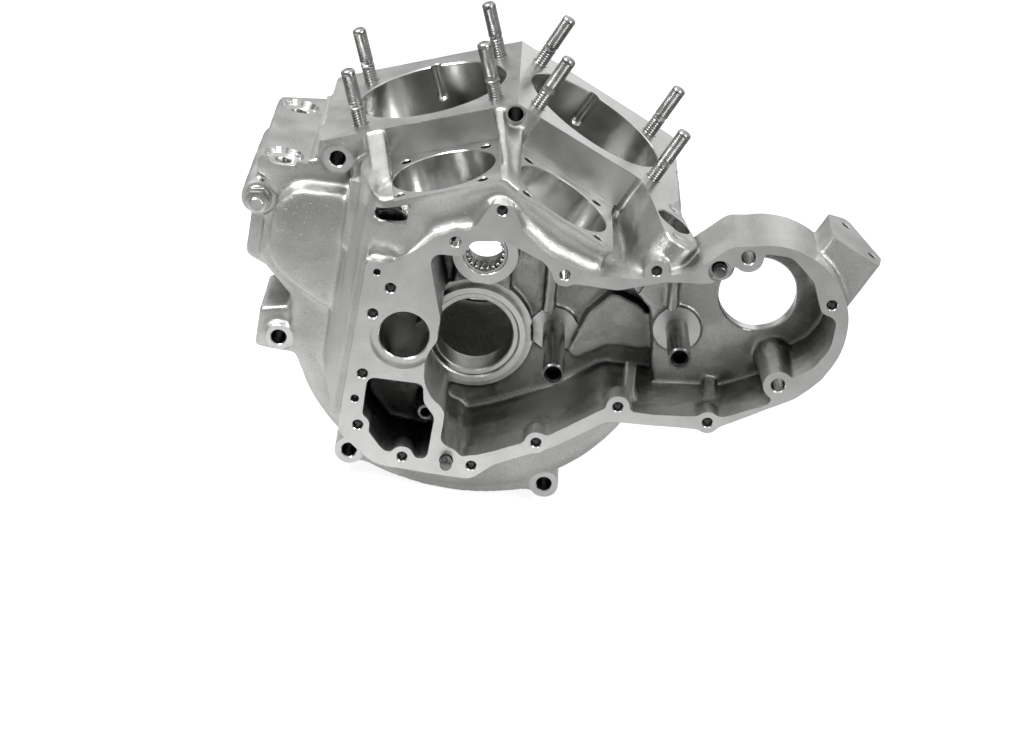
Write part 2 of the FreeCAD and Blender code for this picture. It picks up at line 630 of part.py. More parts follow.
def right_case():
    rough = [drum(RIGHT_WALL_Y), sump(RIGHT_WALL_Y + 4, 0), deck_block(DECK_RIGHT_Y, 0)]
    rough += bolt_bosses(BOLT_FACE_Y, 0, BOLT_BOSS_RADIUS)
    rough.append(rear_lug(LUG_RIGHT_Y, 0, 0))
    rough.append(disc_y(CLAMP_BOLT[0], CLAMP_BOLT[1], CLAMP_BOSS_RADIUS, CLAMP_FACE_Y, 0))
    rough += rear_side()
    rough += chest_side()
    # gear chest and generator loop
    outline = chest_outline()
    rough.append(prism_y(outline, GASKET_Y, SHELF_BACK_Y))
    rough.append(disc_y(GENERATOR_X, GENERATOR_Z, LOOP_RADIUS, GASKET_Y, SHELF_BACK_Y))
    chest = prism_y(outline, SHELF_BACK_Y, RIGHT_WALL_Y + WALL)
    rough.append(chest.cut(prism_y(shelf_outline(), SHELF_BACK_Y, 0).translate(Vec(SHELF_WALL, 0, 0))))
    rough += [screw_lug(x, z) for x, z in COVER_SCREWS]
    # tappet pads, the walls beside them, the timer flange and the front lug
    rough.append(REAR.prism(pad_corners(-31, 51), 70, PAD_REAR_HEIGHT))
    rough.append(FRONT.prism(pad_corners(-48, 30), 70, PAD_FRONT_HEIGHT))
    y_back = DECK_RIGHT_Y + 6
    rough.append(sloping_fin([
        (-41, y_back, 0), (-41, DECK_RIGHT_Y, 0), (-31, PAD_FRONT_Y, 4), (-21, PAD_FRONT_Y, 3),
        (-29, DECK_RIGHT_Y, 0), (-29, y_back, 0)]))
    rough.append(sloping_fin([
        (44, y_back, 0), (44, DECK_RIGHT_Y, 0), (49, PAD_FRONT_Y, 1.5), (52.5, PAD_FRONT_Y, 1.5),
        (50, DECK_RIGHT_Y, 0), (50, y_back, 0)]))
    rough.append(centre_wedge())
    rough.append(FRONT.prism([
        (36.4, y_back, 0), (36.4, DECK_RIGHT_Y - 2, 6), (44, -96, 20), (50, -128, 10), (58, -140, 10),
        (71, -137, 10), (78, -118, 12), (72, -92, 20), (FRONT_DECK_REACH, -74, 8),
        (FRONT_DECK_REACH, y_back, 0)], 96, DECK_HEIGHT))
    rough.append(FRONT.prism([
        (142, -126, 2), (178, -126, 3), (182, -108, 4), (160, -70, 4), (143, -84, 3)],
        FRONT_LUG_ROOT, FRONT_LUG_HEIGHT))
    body = fused(rough)

    body = body.cut(chest_room())
    pocket = pocket_room()
    cuts = [pocket]
    up = Vec(0, 0, 1)
    port_low = Vec(PORT_X, PORT_Y, PORT_TOP_Z - PORT_DEPTH)
    cuts.append(Part.makeCylinder(PORT_RADIUS, PORT_DEPTH + OVERRUN, port_low, up))
    cuts.append(Part.makeCylinder(PORT_BOSS_RADIUS, DECK_HEIGHT, Vec(PORT_X, PORT_Y, PORT_TOP_Z), up))
    cuts += chamber_cuts(RIGHT_WALL_Y + WALL, 0)
    # breather bore with its sunk ring face
    outside = GASKET_Y - OVERRUN
    cuts.append(disc_y(BREATHER_X, BREATHER_Z, BREATHER_RING_RADIUS, outside, BREATHER_FACE_Y))
    cuts.append(disc_y(BREATHER_X, BREATHER_Z, BREATHER_RADIUS, outside, GASKET_Y + BREATHER_DEPTH))
    # bores of the shafts
    inside = RIGHT_WALL_Y + WALL + 1
    cuts.append(disc_y(0, 0, PINION_BORE_RADIUS + FIT, GASKET_Y, inside))
    cuts.append(disc_y(CAM_X, CAM_Z, CAM_BORE_RADIUS + FIT, GASKET_Y, inside))
    cuts.append(disc_y(GENERATOR_X, GENERATOR_Z, GENERATOR_BORE_RADIUS, GASKET_Y, 0))
    for x, z in (IDLER_REAR, IDLER_FRONT):
        floor = (CHEST_FLOOR_Y if x < 100 else SHELF_FLOOR_Y) - IDLER_PAD_HEIGHT
        cuts.append(disc_y(x, z, IDLER_SEAT_RADIUS + FIT, GASKET_Y, floor + IDLER_SEAT_DEPTH))
    # screw holes
    for x, z in COVER_SCREWS:
        cuts.append(disc_y(x, z, COVER_SCREW_RADIUS, outside, GASKET_Y + COVER_SCREW_DEPTH))
    for x, z, radius in COVER_VENTS:
        cuts.append(disc_y(x, z, radius, outside, GASKET_Y + COVER_SCREW_DEPTH))
    for x, z in GENERATOR_BOLTS:
        cuts.append(disc_y(x, z, GENERATOR_BOLT_RADIUS, outside, 0))
    for (x, z), seat in cover_dowel_seats():
        end = seat + DOWEL_LENGTH - DOWEL_STANDS_OUT
        cuts.append(disc_y(x, z, DOWEL_SEAT_RADIUS + FIT, outside, end))
        cuts.append(disc_y(x, z, DOWEL_MOUTH_RADIUS, outside, seat + MOUTH_DEPTH))
    x, z = COVER_DOWEL_UPPER
    cuts.append(disc_y(x, z, COVER_DOWEL_RECESS_RADIUS, outside, GASKET_Y + COVER_DOWEL_UPPER_SINK))
    cuts += pad_cuts(REAR, PAD_REAR_HEIGHT, WINDOW_OFFSET, REAR_WINDOW_DEPTH)
    cuts += pad_cuts(FRONT, PAD_FRONT_HEIGHT, -WINDOW_OFFSET, FRONT_WINDOW_DEPTH)
    # timer flange
    cuts.append(FRONT.disc(TIMER_T, TIMER_Y, TIMER_BORE_RADIUS, 60, DECK_HEIGHT + OVERRUN))
    for side in (-0.5, 0.5):
        y = TIMER_Y + side * TIMER_SCREW_PITCH
        cuts.append(FRONT.disc(TIMER_T, y, TIMER_SCREW_RADIUS, DECK_HEIGHT - 14, DECK_HEIGHT + OVERRUN))
    lug_low = FRONT_LUG_HEIGHT - FRONT_LUG_HOLE_DEPTH
    for t, y in FRONT_LUG_HOLES:
        cuts.append(FRONT.disc(t, y, FRONT_LUG_HOLE_RADIUS, lug_low, FRONT_LUG_HEIGHT + OVERRUN))
    cuts += stud_holes(-1)
    cuts += bolt_holes()
    cuts += dowel_holes()
    cuts += lug_hole(LUG_HOLE_RIGHT_Y)
    cuts.append(disc_y(CLAMP_BOLT[0], CLAMP_BOLT[1], CLAMP_BOSS_RADIUS, 2 * CLAMP_FACE_Y, CLAMP_FACE_Y))
    return as_solid(body.cut(cuts))


def left_case():
    rough = [drum(LEFT_WALL_Y), sump(0, LEFT_WALL_Y - 4), deck_block(0, DECK_LEFT_Y)]
    rough += bolt_bosses(0, BOLT_LEFT_Y, BOLT_BOSS_RADIUS)
    rough.append(rear_lug(0, LUG_LEFT_Y + 12, 14))
    rough.append(disc_y(CLAMP_BOLT[0], CLAMP_BOLT[1], CLAMP_BOSS_RADIUS, 0, CLAMP_BACK_Y))
    rough.append(disc_y(0, 0, HUB_RADIUS, 0, HUB_FACE_Y))
    half = HUB_RIB_THICKNESS / 2
    for i in range(HUB_RIB_COUNT):
        side = Part.makePolygon([
            Vec(HUB_RADIUS - 12, 0, -half), Vec(DRUM_RADIUS - 11, 0, -half),
            Vec(DRUM_RADIUS - 11, LEFT_WALL_Y - 1, -half), Vec(HUB_RADIUS - 12, HUB_FACE_Y - 5, -half),
            Vec(HUB_RADIUS - 12, 0, -half)])
        rib = Part.Face(side).extrude(Vec(0, 0, HUB_RIB_THICKNESS))
        rib.rotate(Vec(0, 0, 0), Vec(0, 1, 0), 15 + i * 360.0 / HUB_RIB_COUNT)
        rough.append(rib)
    body = fused(rough)
    cuts = chamber_cuts(0, LEFT_WALL_Y - WALL) + spigot_notches()
    cuts.append(disc_y(0, 0, HUB_RACE_RADIUS + FIT, 0, HUB_FACE_Y + OVERRUN))
    cuts += stud_holes(1)
    cuts += bolt_holes()
    cuts += dowel_holes()
    cuts += lug_hole(LUG_HOLE_LEFT_Y)
    cuts.append(disc_y(CLAMP_BOLT[0], CLAMP_BOLT[1], CLAMP_BOSS_RADIUS, CLAMP_BACK_Y, 2 * CLAMP_BACK_Y))
    return as_solid(body.cut(cuts))


def stud(bank, t, y):
    """Threaded stud with a waist between its two threads and a rounded top."""
    low = DECK_HEIGHT - STUD_DEPTH
    seat_top = DECK_HEIGHT + STUD_SEAT_STEP
    body = bank.disc(t, y, STUD_RADIUS, seat_top, low + STUD_LENGTH)
    top = max(body.Edges, key=lambda edge: edge.CenterOfMass.dot(bank.up))
    body = body.makeFillet(STUD_TOP_ROUND, [top])
    waist_low = DECK_HEIGHT + STUD_WAIST_HEIGHT
    waist_high = waist_low + STUD_WAIST_LENGTH
    sleeve = bank.disc(t, y, STUD_RADIUS + 1, waist_low, waist_high)
    core = bank.disc(t, y, STUD_RADIUS - STUD_WAIST, waist_low, waist_high)
    return body.cut(sleeve.cut(core)).fuse(bank.disc(t, y, STUD_SEAT_RADIUS, low, seat_top))


def ring_y(x, z, outer, inner, y_near, y_far):
    return disc_y(x, z, outer, y_near, y_far).cut(disc_y(x, z, inner, y_near, y_far))


def idler_shaft(place, floor):
    """Shaft pressed in the chest floor, with a tapped hole in its end."""
    x, z = place
    body = disc_y(x, z, IDLER_RADIUS, GASKET_Y - 1, floor)
    front = min(body.Edges, key=lambda edge: edge.CenterOfMass.y)
    body = body.makeChamfer(0.8, [front])
    body = body.fuse(disc_y(x, z, IDLER_SEAT_RADIUS, floor, floor + IDLER_SEAT_DEPTH))
    body = body.cut(disc_y(x, z, IDLER_HOLE_RADIUS, GASKET_Y - 2, GASKET_Y + 16))
    return body.cut(disc_y(x, z, IDLER_HOLE_RADIUS + 1.2, GASKET_Y - 2, GASKET_Y + 1.5))


def cover_dowel(place, seat):
    """Dowel with a nose that stands out of its seat."""
    x, z = place
    nose = disc_y(x, z, DOWEL_RADIUS, seat - DOWEL_STANDS_OUT, seat)
    return nose.fuse(disc_y(x, z, DOWEL_SEAT_RADIUS, seat, seat + DOWEL_LENGTH - DOWEL_STANDS_OUT))


def hexagon_y(x, z, across, y_near, y_far):
    radius = across / math.sqrt(3)
    points = []
    for i in range(7):
        angle = math.radians(60 * i + 10)
        points.append(Vec(x + radius * math.cos(angle), y_near, z + radius * math.sin(angle)))
    return Part.Face(Part.makePolygon(points)).extrude(Vec(0, y_far - y_near, 0))


def tapered_race(y_wide, y_narrow):
    """Outer race of a tapered roller bearing, wide bore at y_wide."""
    near, far = min(y_wide, y_narrow), max(y_wide, y_narrow)
    body = disc_y(0, 0, HUB_RACE_RADIUS, near, far)
    wide = HUB_RACE_RADIUS - HUB_RACE_WALL * 0.4
    narrow = HUB_RACE_RADIUS - HUB_RACE_WALL
    if y_wide < y_narrow:
        cone = Part.makeCone(wide, narrow, far - near, Vec(0, near, 0), Vec(0, 1, 0))
    else:
        cone = Part.makeCone(narrow, wide, far - near, Vec(0, near, 0), Vec(0, 1, 0))
    return body.cut(cone)


def needles():
    """Needle rollers standing round the inside of the cam bearing shell."""
    ring = CAM_BORE_RADIUS - CAM_SHELL_WALL - NEEDLE_RADIUS - FIT
    y_near = CAM_FACE_Y + 2
    solids = []
    for i in range(NEEDLE_COUNT):
        angle = 2 * math.pi * i / NEEDLE_COUNT
        x = CAM_X + ring * math.cos(angle)
        z = CAM_Z + ring * math.sin(angle)
        solids.append(disc_y(x, z, NEEDLE_RADIUS, y_near, y_near + CAM_BEARING_WIDTH - 4))
    return Part.makeCompound(solids)


def all_pieces():
    pieces = {"right_case": right_case(), "left_case": left_case()}
    for name, bank in (("rear", REAR), ("front", FRONT)):
        for number, (t, y) in enumerate(stud_places(), start=1):
            pieces["%s_stud_%d" % (name, number)] = stud(bank, t, y)
    pieces["idler_shaft_rear"] = idler_shaft(IDLER_REAR, CHEST_FLOOR_Y - IDLER_PAD_HEIGHT)
    pieces["idler_shaft_front"] = idler_shaft(IDLER_FRONT, SHELF_FLOOR_Y - IDLER_PAD_HEIGHT)
    race_near = PINION_FACE_Y + 2
    race_far = race_near + PINION_RACE_WIDTH
    race_inner = PINION_BORE_RADIUS - PINION_RACE_WALL
    pieces["pinion_bearing_race"] = ring_y(0, 0, PINION_BORE_RADIUS, race_inner, race_near, race_far)
    shell_inner = CAM_BORE_RADIUS - CAM_SHELL_WALL
    shell_far = CAM_FACE_Y + CAM_BEARING_WIDTH
    pieces["cam_bearing_shell"] = ring_y(CAM_X, CAM_Z, CAM_BORE_RADIUS, shell_inner, CAM_FACE_Y, shell_far)
    pieces["cam_bearing_needles"] = needles()
    for name, (place, seat) in zip(("lower", "upper"), cover_dowel_seats()):
        pieces["cover_dowel_" + name] = cover_dowel(place, seat)
    for name, x, z in CASE_DOWELS:
        pieces[name] = disc_y(x, z, DOWEL_RADIUS, -DOWEL_LENGTH / 2 + 0.5, DOWEL_LENGTH / 2 - 0.5)
    outer_end = HUB_FACE_Y - 1.5
    inner_end = outer_end - 2 * HUB_RACE_WIDTH - HUB_SPACER_WIDTH
    pieces["left_bearing_race_outer"] = tapered_race(outer_end, outer_end - HUB_RACE_WIDTH)
    pieces["left_bearing_race_inner"] = tapered_race(inner_end, inner_end + HUB_RACE_WIDTH)
    pieces["race_spacer"] = ring_y(
        0, 0, HUB_RACE_RADIUS, HUB_RACE_RADIUS - HUB_RACE_WALL,
        inner_end + HUB_RACE_WIDTH, inner_end + HUB_RACE_WIDTH + HUB_SPACER_WIDTH)
    x, z = CLAMP_BOLT
    washer_y = CLAMP_FACE_Y - CLAMP_WASHER_THICKNESS
    nut_y = washer_y - CLAMP_HEAD_HEIGHT
    washer = ring_y(x, z, CLAMP_WASHER_RADIUS, BOLT_HOLE_RADIUS, washer_y, CLAMP_FACE_Y)
    pieces["clamp_bolt_washer"] = washer
    nut = hexagon_y(x, z, CLAMP_HEAD_ACROSS, nut_y, washer_y)
    pieces["clamp_bolt_nut"] = nut.cut(disc_y(x, z, BOLT_RADIUS + FIT, nut_y - 1, washer_y + 1))
    shank = disc_y(x, z, BOLT_RADIUS, nut_y - 5, CLAMP_BACK_Y)
    head = hexagon_y(x, z, CLAMP_HEAD_ACROSS, CLAMP_BACK_Y, CLAMP_BACK_Y + CLAMP_HEAD_HEIGHT)
    pieces["clamp_bolt"] = shank.fuse(head).removeSplitter()
    return pieces


os.makedirs("parts", exist_ok=True)
for piece_name, piece_shape in all_pieces().items():
    piece_shape.exportStep("parts/%s.step" % piece_name)
    print(piece_name, piece_shape.isValid(), round(piece_shape.Volume), piece_shape.BoundBox)
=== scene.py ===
# %% [markdown]
# # A V-twin crankcase in bare aluminium
# This notebook dresses the plain solids of a two-part engine case. The solids have
# the right sizes already, so the work here is what a caster, a machinist and a
# fitter leave on the metal: soft grainy skin, crisp machined faces, glossy bores
# and threaded studs.

# %% Load the solids
import math
import bmesh
import bpy
import numpy as np
from mathutils import Matrix, Vector
from mathutils.bvhtree import BVHTree


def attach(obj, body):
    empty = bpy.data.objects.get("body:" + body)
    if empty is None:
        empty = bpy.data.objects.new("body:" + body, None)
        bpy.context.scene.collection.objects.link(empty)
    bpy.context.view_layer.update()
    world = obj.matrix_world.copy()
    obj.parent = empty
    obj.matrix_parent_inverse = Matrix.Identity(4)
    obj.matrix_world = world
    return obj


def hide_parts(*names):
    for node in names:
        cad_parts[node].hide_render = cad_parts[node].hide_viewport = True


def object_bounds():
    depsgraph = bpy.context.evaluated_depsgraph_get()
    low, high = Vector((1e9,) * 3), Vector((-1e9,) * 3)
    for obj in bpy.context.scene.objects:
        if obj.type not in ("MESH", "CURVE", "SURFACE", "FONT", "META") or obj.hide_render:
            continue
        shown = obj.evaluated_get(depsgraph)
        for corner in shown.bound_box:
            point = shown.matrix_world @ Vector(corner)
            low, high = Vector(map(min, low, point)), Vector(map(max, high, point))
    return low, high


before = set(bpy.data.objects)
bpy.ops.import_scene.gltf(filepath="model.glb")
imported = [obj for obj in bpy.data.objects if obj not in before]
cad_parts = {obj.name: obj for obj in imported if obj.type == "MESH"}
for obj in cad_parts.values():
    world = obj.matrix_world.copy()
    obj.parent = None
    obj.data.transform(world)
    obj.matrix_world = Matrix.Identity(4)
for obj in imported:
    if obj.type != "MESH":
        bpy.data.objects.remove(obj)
cad_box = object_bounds()
MM = 0.001
print(len(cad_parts), "solids, box", cad_box)

# %% [markdown]
# ## Directions of the engine
# The two cylinders lean 22.5 degrees each way from upright. Places on a deck are
# easiest to give in its own directions: t across the deck, y along the crank and h
# up the cylinder. A tiny class turns those three numbers into a point.

# %% Cylinder directions


class Bank:
    """Directions of one cylinder; all numbers are millimetres."""

    def __init__(self, lean):
        angle = math.radians(lean)
        self.up = Vector((math.sin(angle), 0, math.cos(angle)))
        self.across = Vector((math.cos(angle), 0, -math.sin(angle)))

    def point(self, t, y, h):
        return (self.across * t + self.up * h + Vector((0, y, 0))) * MM


REAR = Bank(-22.5)
FRONT = Bank(22.5)
BANKS = (REAR, FRONT)
INWARD = Vector((0, 1, 0))
OUTWARD = Vector((0, -1, 0))
UP = Vector((0, 0, 1))


def at(x, y, z):
    return Vector((x, y, z)) * MM


print("rear deck centre", REAR.point(0, 0, 145))

# %% [markdown]
# ## Camera
# The picture was taken from the right-hand side, about 25 degrees above the crank,
# with a long lens and the engine tilted in the frame. The camera's three axes are
# worked out from those angles and written straight into its matrix, because the
# tilt makes an aim constraint awkward.

# %% Place the camera
AZIMUTH, ELEVATION, ROLL = math.radians(-3.56), math.radians(24.91), math.radians(11.62)
DISTANCE, ASIDE, BELOW = 1637.8, 23.2, 61.0
FOCAL_PIXELS, PICTURE_WIDTH = 2370.7, 1024
back = Vector((
    math.sin(AZIMUTH) * math.cos(ELEVATION),
    -math.cos(AZIMUTH) * math.cos(ELEVATION),
    math.sin(ELEVATION)))
level = Vector((math.cos(AZIMUTH), math.sin(AZIMUTH), 0))
rise = back.cross(level)
side = level * math.cos(ROLL) + rise * math.sin(ROLL)
top = rise * math.cos(ROLL) - level * math.sin(ROLL)
stand = (side * ASIDE - top * BELOW + back * DISTANCE) * MM
lens = bpy.data.cameras.new("camera")
lens.sensor_width = 36.0
lens.lens = 36.0 * FOCAL_PIXELS / PICTURE_WIDTH
lens.clip_start = 0.05
lens.clip_end = 30.0
camera = bpy.data.objects.new("camera", lens)
camera.matrix_world = Matrix((
    (side.x, top.x, back.x, stand.x),
    (side.y, top.y, back.y, stand.y),
    (side.z, top.z, back.z, stand.z),
    (0, 0, 0, 1)))
bpy.context.scene.collection.objects.link(camera)
bpy.context.scene.camera = camera
bpy.context.scene.view_settings.view_transform = "Standard"
print("camera stands at", stand)

# %% [markdown]
# ## Shader arithmetic
# Node set-ups are easier to read as sums. One class wraps a socket, so that
# ordinary operators add Math nodes, and one method adds every other kind of node.

# %% A socket that can be added and multiplied


class Value:
    """A socket whose operators add Math nodes."""

    def __init__(self, finish, socket):
        self.finish = finish
        self.socket = socket

    def _math(self, operation, first, second):
        sockets = {0: first, 1: second}
        return self.finish.node("Math", {"operation": operation}, sockets)

    def __add__(self, other):
        return self._math("ADD", self, other)

    def __sub__(self, other):
        return self._math("SUBTRACT", self, other)

    def __mul__(self, other):
        return self._math("MULTIPLY", self, other)

    def __rsub__(self, other):
        return self._math("SUBTRACT", other, self)

    __radd__ = __add__
    __rmul__ = __mul__


class Finish:
    """A material with one Principled shader."""

    def __init__(self, name):
        self.material = bpy.data.materials.new(name)
        self.material.use_nodes = True
        self.tree = self.material.node_tree
        self.shader = self.tree.nodes["Principled BSDF"]
        self.place = self.node("TexCoord", out="Object")

    def node(self, kind, settings=None, sockets=None, out=0):
        """Adds a node; settings come first, then values or links of its sockets."""
        made = self.tree.nodes.new("ShaderNode" + kind)
        for key, value in (settings or {}).items():
            setattr(made, key, value)
        self.feed(made, sockets or {})
        return Value(self, made.outputs[out])

    def feed(self, made, sockets):
        for key, value in sockets.items():
            if isinstance(value, Value):
                self.tree.links.new(value.socket, made.inputs[key])
            else:
                made.inputs[key].default_value = value

    def noise(self, size, detail=2.0, stretch=(1, 1, 1)):
        """Cloudy pattern; size is the width of its spots in millimetres."""
        place = self.node("Mapping", {}, {"Vector": self.place, "Scale": stretch})
        sockets = {"Vector": place, "Scale": 1000.0 / size, "Detail": detail}
        return self.node("TexNoise", {}, sockets)

    def ramp(self, value, low, high, dark=0.0, light=1.0):
        """Soft step from dark to light between two values."""
        settings = {"interpolation_type": "SMOOTHSTEP"}
        sockets = {"Value": value, 1: low, 2: high, 3: dark, 4: light}
        return self.node("MapRange", settings, sockets)

    def blend(self, factor, first, second):
        """Colour between two colours."""
        sockets = {0: factor, 6: first, 7: second}
        return self.node("Mix", {"data_type": "RGBA"}, sockets, out=2)

    def bump(self, height, strength, distance):
        sockets = {"Height": height, "Strength": strength, "Distance": distance}
        return self.node("Bump", {}, sockets)


print("shader helpers ready")

# %% [markdown]
# ## Cast skin
# Sand leaves a fine grain on the casting. The skin isn't one grey: broad cloudy
# patches differ in tone, and small pits catch a little dirt. Grain goes into bump,
# patches into colour and roughness.

# %% Cast skin material


def cast_skin():
    skin = Finish("cast_skin")
    open_sky = skin.node("Attribute", {"attribute_name": "open_sky"}, out="Fac")
    grain = skin.noise(0.8, 3.0)
    lumps = skin.noise(2.6, 2.0)
    cloud = skin.noise(34.0, 3.0)
    pits = skin.ramp(skin.noise(1.3, 1.0), 0.66, 0.74)
    tone = skin.blend(skin.ramp(cloud, 0.3, 0.7), (0.60, 0.597, 0.585, 1), (0.75, 0.747, 0.73, 1))
    tone = skin.blend(pits * 0.25, tone, (0.27, 0.265, 0.25, 1))
    tone = skin.blend(skin.ramp(grain, 0.35, 0.65, 0.22, 0.0), tone, (0.2, 0.197, 0.19, 1))
    # painted shade: the skin's colour goes dark where a point sees little open air, and nearly
    # black where it sees almost none
    tone = skin.blend(skin.ramp(open_sky, 0.1, 0.76, 0.85, 0.0), tone, (0.06, 0.058, 0.055, 1))
    tone = skin.blend(skin.ramp(open_sky, 0.0, 0.22, 0.85, 0.0), tone, (0.015, 0.0145, 0.014, 1))
    rough = 0.37 + skin.ramp(cloud, 0.3, 0.7) * 0.07 + pits * 0.12
    relief = grain * 0.5 + lumps * 0.5 - pits * 0.5
    skin.feed(skin.shader, {
        "Base Color": tone, "Metallic": 0.95, "Roughness": rough,
        "Normal": skin.bump(relief, 0.7, 0.0004)})
    return skin.material


CAST = cast_skin()
print("made", CAST.name)

# %% [markdown]
# ## Machined faces and bores
# A fly cutter leaves faint arcs on the flat faces, so rings about a far centre are
# laid over them. A boring bar leaves a smoother wall that mirrors its
# surroundings in long streaks.

# %% Machined and bored materials


def machined_face():
    face = Finish("machined_face")
    far = face.node("Mapping", {}, {"Vector": face.place, "Location": (0.31, 0.0, 0.47)})
    rings = {"wave_type": "RINGS", "rings_direction": "SPHERICAL"}
    marks = face.node("TexWave", rings, {
        "Vector": far, "Scale": 420.0, "Distortion": 1.2, "Detail": 2.0, "Detail Scale": 3.0})
    cloud = face.noise(21.0, 3.0)
    scuffs = face.ramp(face.noise(3.0, 3.0), 0.56, 0.72)
    tone = face.blend(face.ramp(cloud, 0.3, 0.7), (0.76, 0.757, 0.745, 1), (0.87, 0.867, 0.855, 1))
    tone = face.blend(scuffs * 0.25, tone, (0.6, 0.597, 0.585, 1))
    open_sky = face.node("Attribute", {"attribute_name": "open_sky"}, out="Fac")
    # painted shade: the face's colour goes dark where it sees little open air
    tone = face.blend(face.ramp(open_sky, 0.1, 0.6, 0.55, 0.0), tone, (0.15, 0.148, 0.143, 1))
    rough = 0.27 + face.ramp(cloud, 0.3, 0.7) * 0.07 + scuffs * 0.09 + marks * 0.03
    face.feed(face.shader, {
        "Base Color": tone, "Metallic": 1.0, "Roughness": rough,
        "Normal": face.bump(marks, 0.25, 0.00003)})
    return face.material


def bored_wall():
    wall = Finish("bored_wall")
    marks = wall.noise(0.5, 2.0, (0.12, 1.0, 1.0))
    cloud = wall.noise(15.0, 2.0)
    tone = wall.blend(wall.ramp(cloud, 0.3, 0.7), (0.70, 0.697, 0.685, 1), (0.82, 0.817, 0.805, 1))
    open_sky = wall.node("Attribute", {"attribute_name": "open_sky"}, out="Fac")
    # painted shade: the bore's colour goes dark where it sees little open air
    tone = wall.blend(wall.ramp(open_sky, 0.05, 0.5, 0.65, 0.0), tone, (0.1, 0.098, 0.095, 1))
    # painted highlight: a thin near-white line on the bore wall along the joint of the two halves
    spot = wall.node("SeparateXYZ", {}, {0: wall.place}, out=1)
    off_joint_glint = wall.node("Math", {"operation": "ABSOLUTE"}, {0: spot})
    tone = wall.blend(wall.ramp(off_joint_glint, 0.0002, 0.0004, 0.8, 0.0), tone, (0.97, 0.967, 0.96, 1))
    rough = 0.16 + wall.ramp(cloud, 0.3, 0.7) * 0.06 + marks * 0.04
    wall.feed(wall.shader, {
        "Base Color": tone, "Metallic": 1.0, "Roughness": rough,
        "Normal": wall.bump(marks, 0.2, 0.00004)})
    return wall.material


FACE = machined_face()
BORE = bored_wall()
FLAT, ROUND = 1, 2
print("made", FACE.name, BORE.name, "for slots", FLAT, ROUND)

# %% [markdown]
# ## Steels
# Studs, shafts, bearing rings and the clamp bolt are steel, each with its own
# finish. One function makes them all from a tone, a roughness and the width of
# the marks.

# %% Steel materials


def steel(name, dark, light, rough, size, stretch=(1, 1, 1)):
    metal = Finish(name)
    marks = metal.noise(size, 3.0, stretch)
    cloud = metal.ramp(metal.noise(7.0, 2.0), 0.3, 0.7)
    tone = metal.blend(cloud, (*dark, 1), (*light, 1))
    metal.feed(metal.shader, {
        "Base Color": tone, "Metallic": 1.0, "Roughness": rough + marks * 0.04 + cloud * 0.04,
        "Normal": metal.bump(marks, 0.12, 0.00002)})
    return metal.material


STUD = steel("stud_steel_finish", (0.27, 0.267, 0.26), (0.36, 0.357, 0.35), 0.22, 0.9)
STUD_END = steel("stud_end_finish", (0.46, 0.455, 0.445), (0.56, 0.555, 0.54), 0.25, 0.9)
SHAFT = steel("ground_shaft", (0.19, 0.19, 0.187), (0.26, 0.26, 0.255), 0.2, 0.3, (1, 0.15, 1))
BEARING = steel("bearing_ring", (0.56, 0.555, 0.545), (0.66, 0.655, 0.645), 0.16, 0.3)
ZINC = steel("zinc_plate", (0.66, 0.655, 0.64), (0.78, 0.775, 0.76), 0.24, 0.9)
# painted shade: a near-black steel for the inside of the shaft end holes
HOLE_SHADE = steel("painted_hole_shade", (0.03, 0.03, 0.03), (0.05, 0.05, 0.05), 0.5, 0.5)
print("made the steels")

# %% [markdown]
# ## Turned solids
# A lathe makes most of what follows, from studs to drills that bite into the
# casting. So one helper spins a profile of radius and height pairs into a closed
# solid, and lays it on an axis. Flat rings and round walls get a skin of their
# own, which the cut surface inherits.

# %% Lathe and slab helpers


def add_to(bm, part, place):
    """Moves a closed part to its place and joins it to bm."""
    bmesh.ops.recalc_face_normals(part, faces=part.faces)
    bmesh.ops.transform(part, matrix=place, verts=part.verts)
    scrap = bpy.data.meshes.new("scrap")
    part.to_mesh(scrap)
    part.free()
    bm.from_mesh(scrap)
    bpy.data.meshes.remove(scrap)


def turned(bm, foot, axis, profile, steps=64, wall=ROUND, flat=FLAT):
    """Adds a closed turned solid; heights run along axis from foot."""
    part = bmesh.new()
    corners = [part.verts.new((r * MM, 0, h * MM)) for r, h in profile]
    pairs = list(zip(corners, corners[1:]))
    if profile[0][0] > 0:
        pairs.append((corners[-1], corners[0]))
    edges = [part.edges.new(pair) for pair in pairs]
    bmesh.ops.spin(
        part, geom=corners + edges, cent=(0, 0, 0), axis=(0, 0, 1), angle=2 * math.pi,
        steps=steps, use_merge=True, use_duplicate=False)
    bmesh.ops.remove_doubles(part, verts=part.verts, dist=1e-7)
    bmesh.ops.recalc_face_normals(part, faces=part.faces)
    for face in part.faces:
        face.smooth = True
        face.material_index = flat if abs(face.normal.z) > 0.99 else wall
    add_to(bm, part, Matrix.Translation(foot) @ axis.to_track_quat("Z", "Y").to_matrix().to_4x4())


def slab(bm, outline, lift):
    """Adds a closed solid: an outline of points, pushed along lift."""
    part = bmesh.new()
    face = part.faces.new([part.verts.new(p) for p in outline])
    made = bmesh.ops.extrude_face_region(part, geom=[face])
    raised = [v for v in made["geom"] if isinstance(v, bmesh.types.BMVert)]
    bmesh.ops.translate(part, vec=lift, verts=raised)
    for side_face in part.faces:
        side_face.material_index = FLAT
    add_to(bm, part, Matrix())


def rectangle(x_low, x_high, y_low, y_high, z):
    """Level outline for a slab, in millimetres."""
    pairs = ((x_low, y_low), (x_high, y_low), (x_high, y_high), (x_low, y_high))
    return [at(x, y, z) for x, y in pairs]


def upright(x_low, x_high, z_low, z_high, y):
    """Upright outline for a slab, seen from the gear side."""
    pairs = ((x_low, z_low), (x_high, z_low), (x_high, z_high), (x_low, z_high))
    return [at(x, y, z) for x, z in pairs]


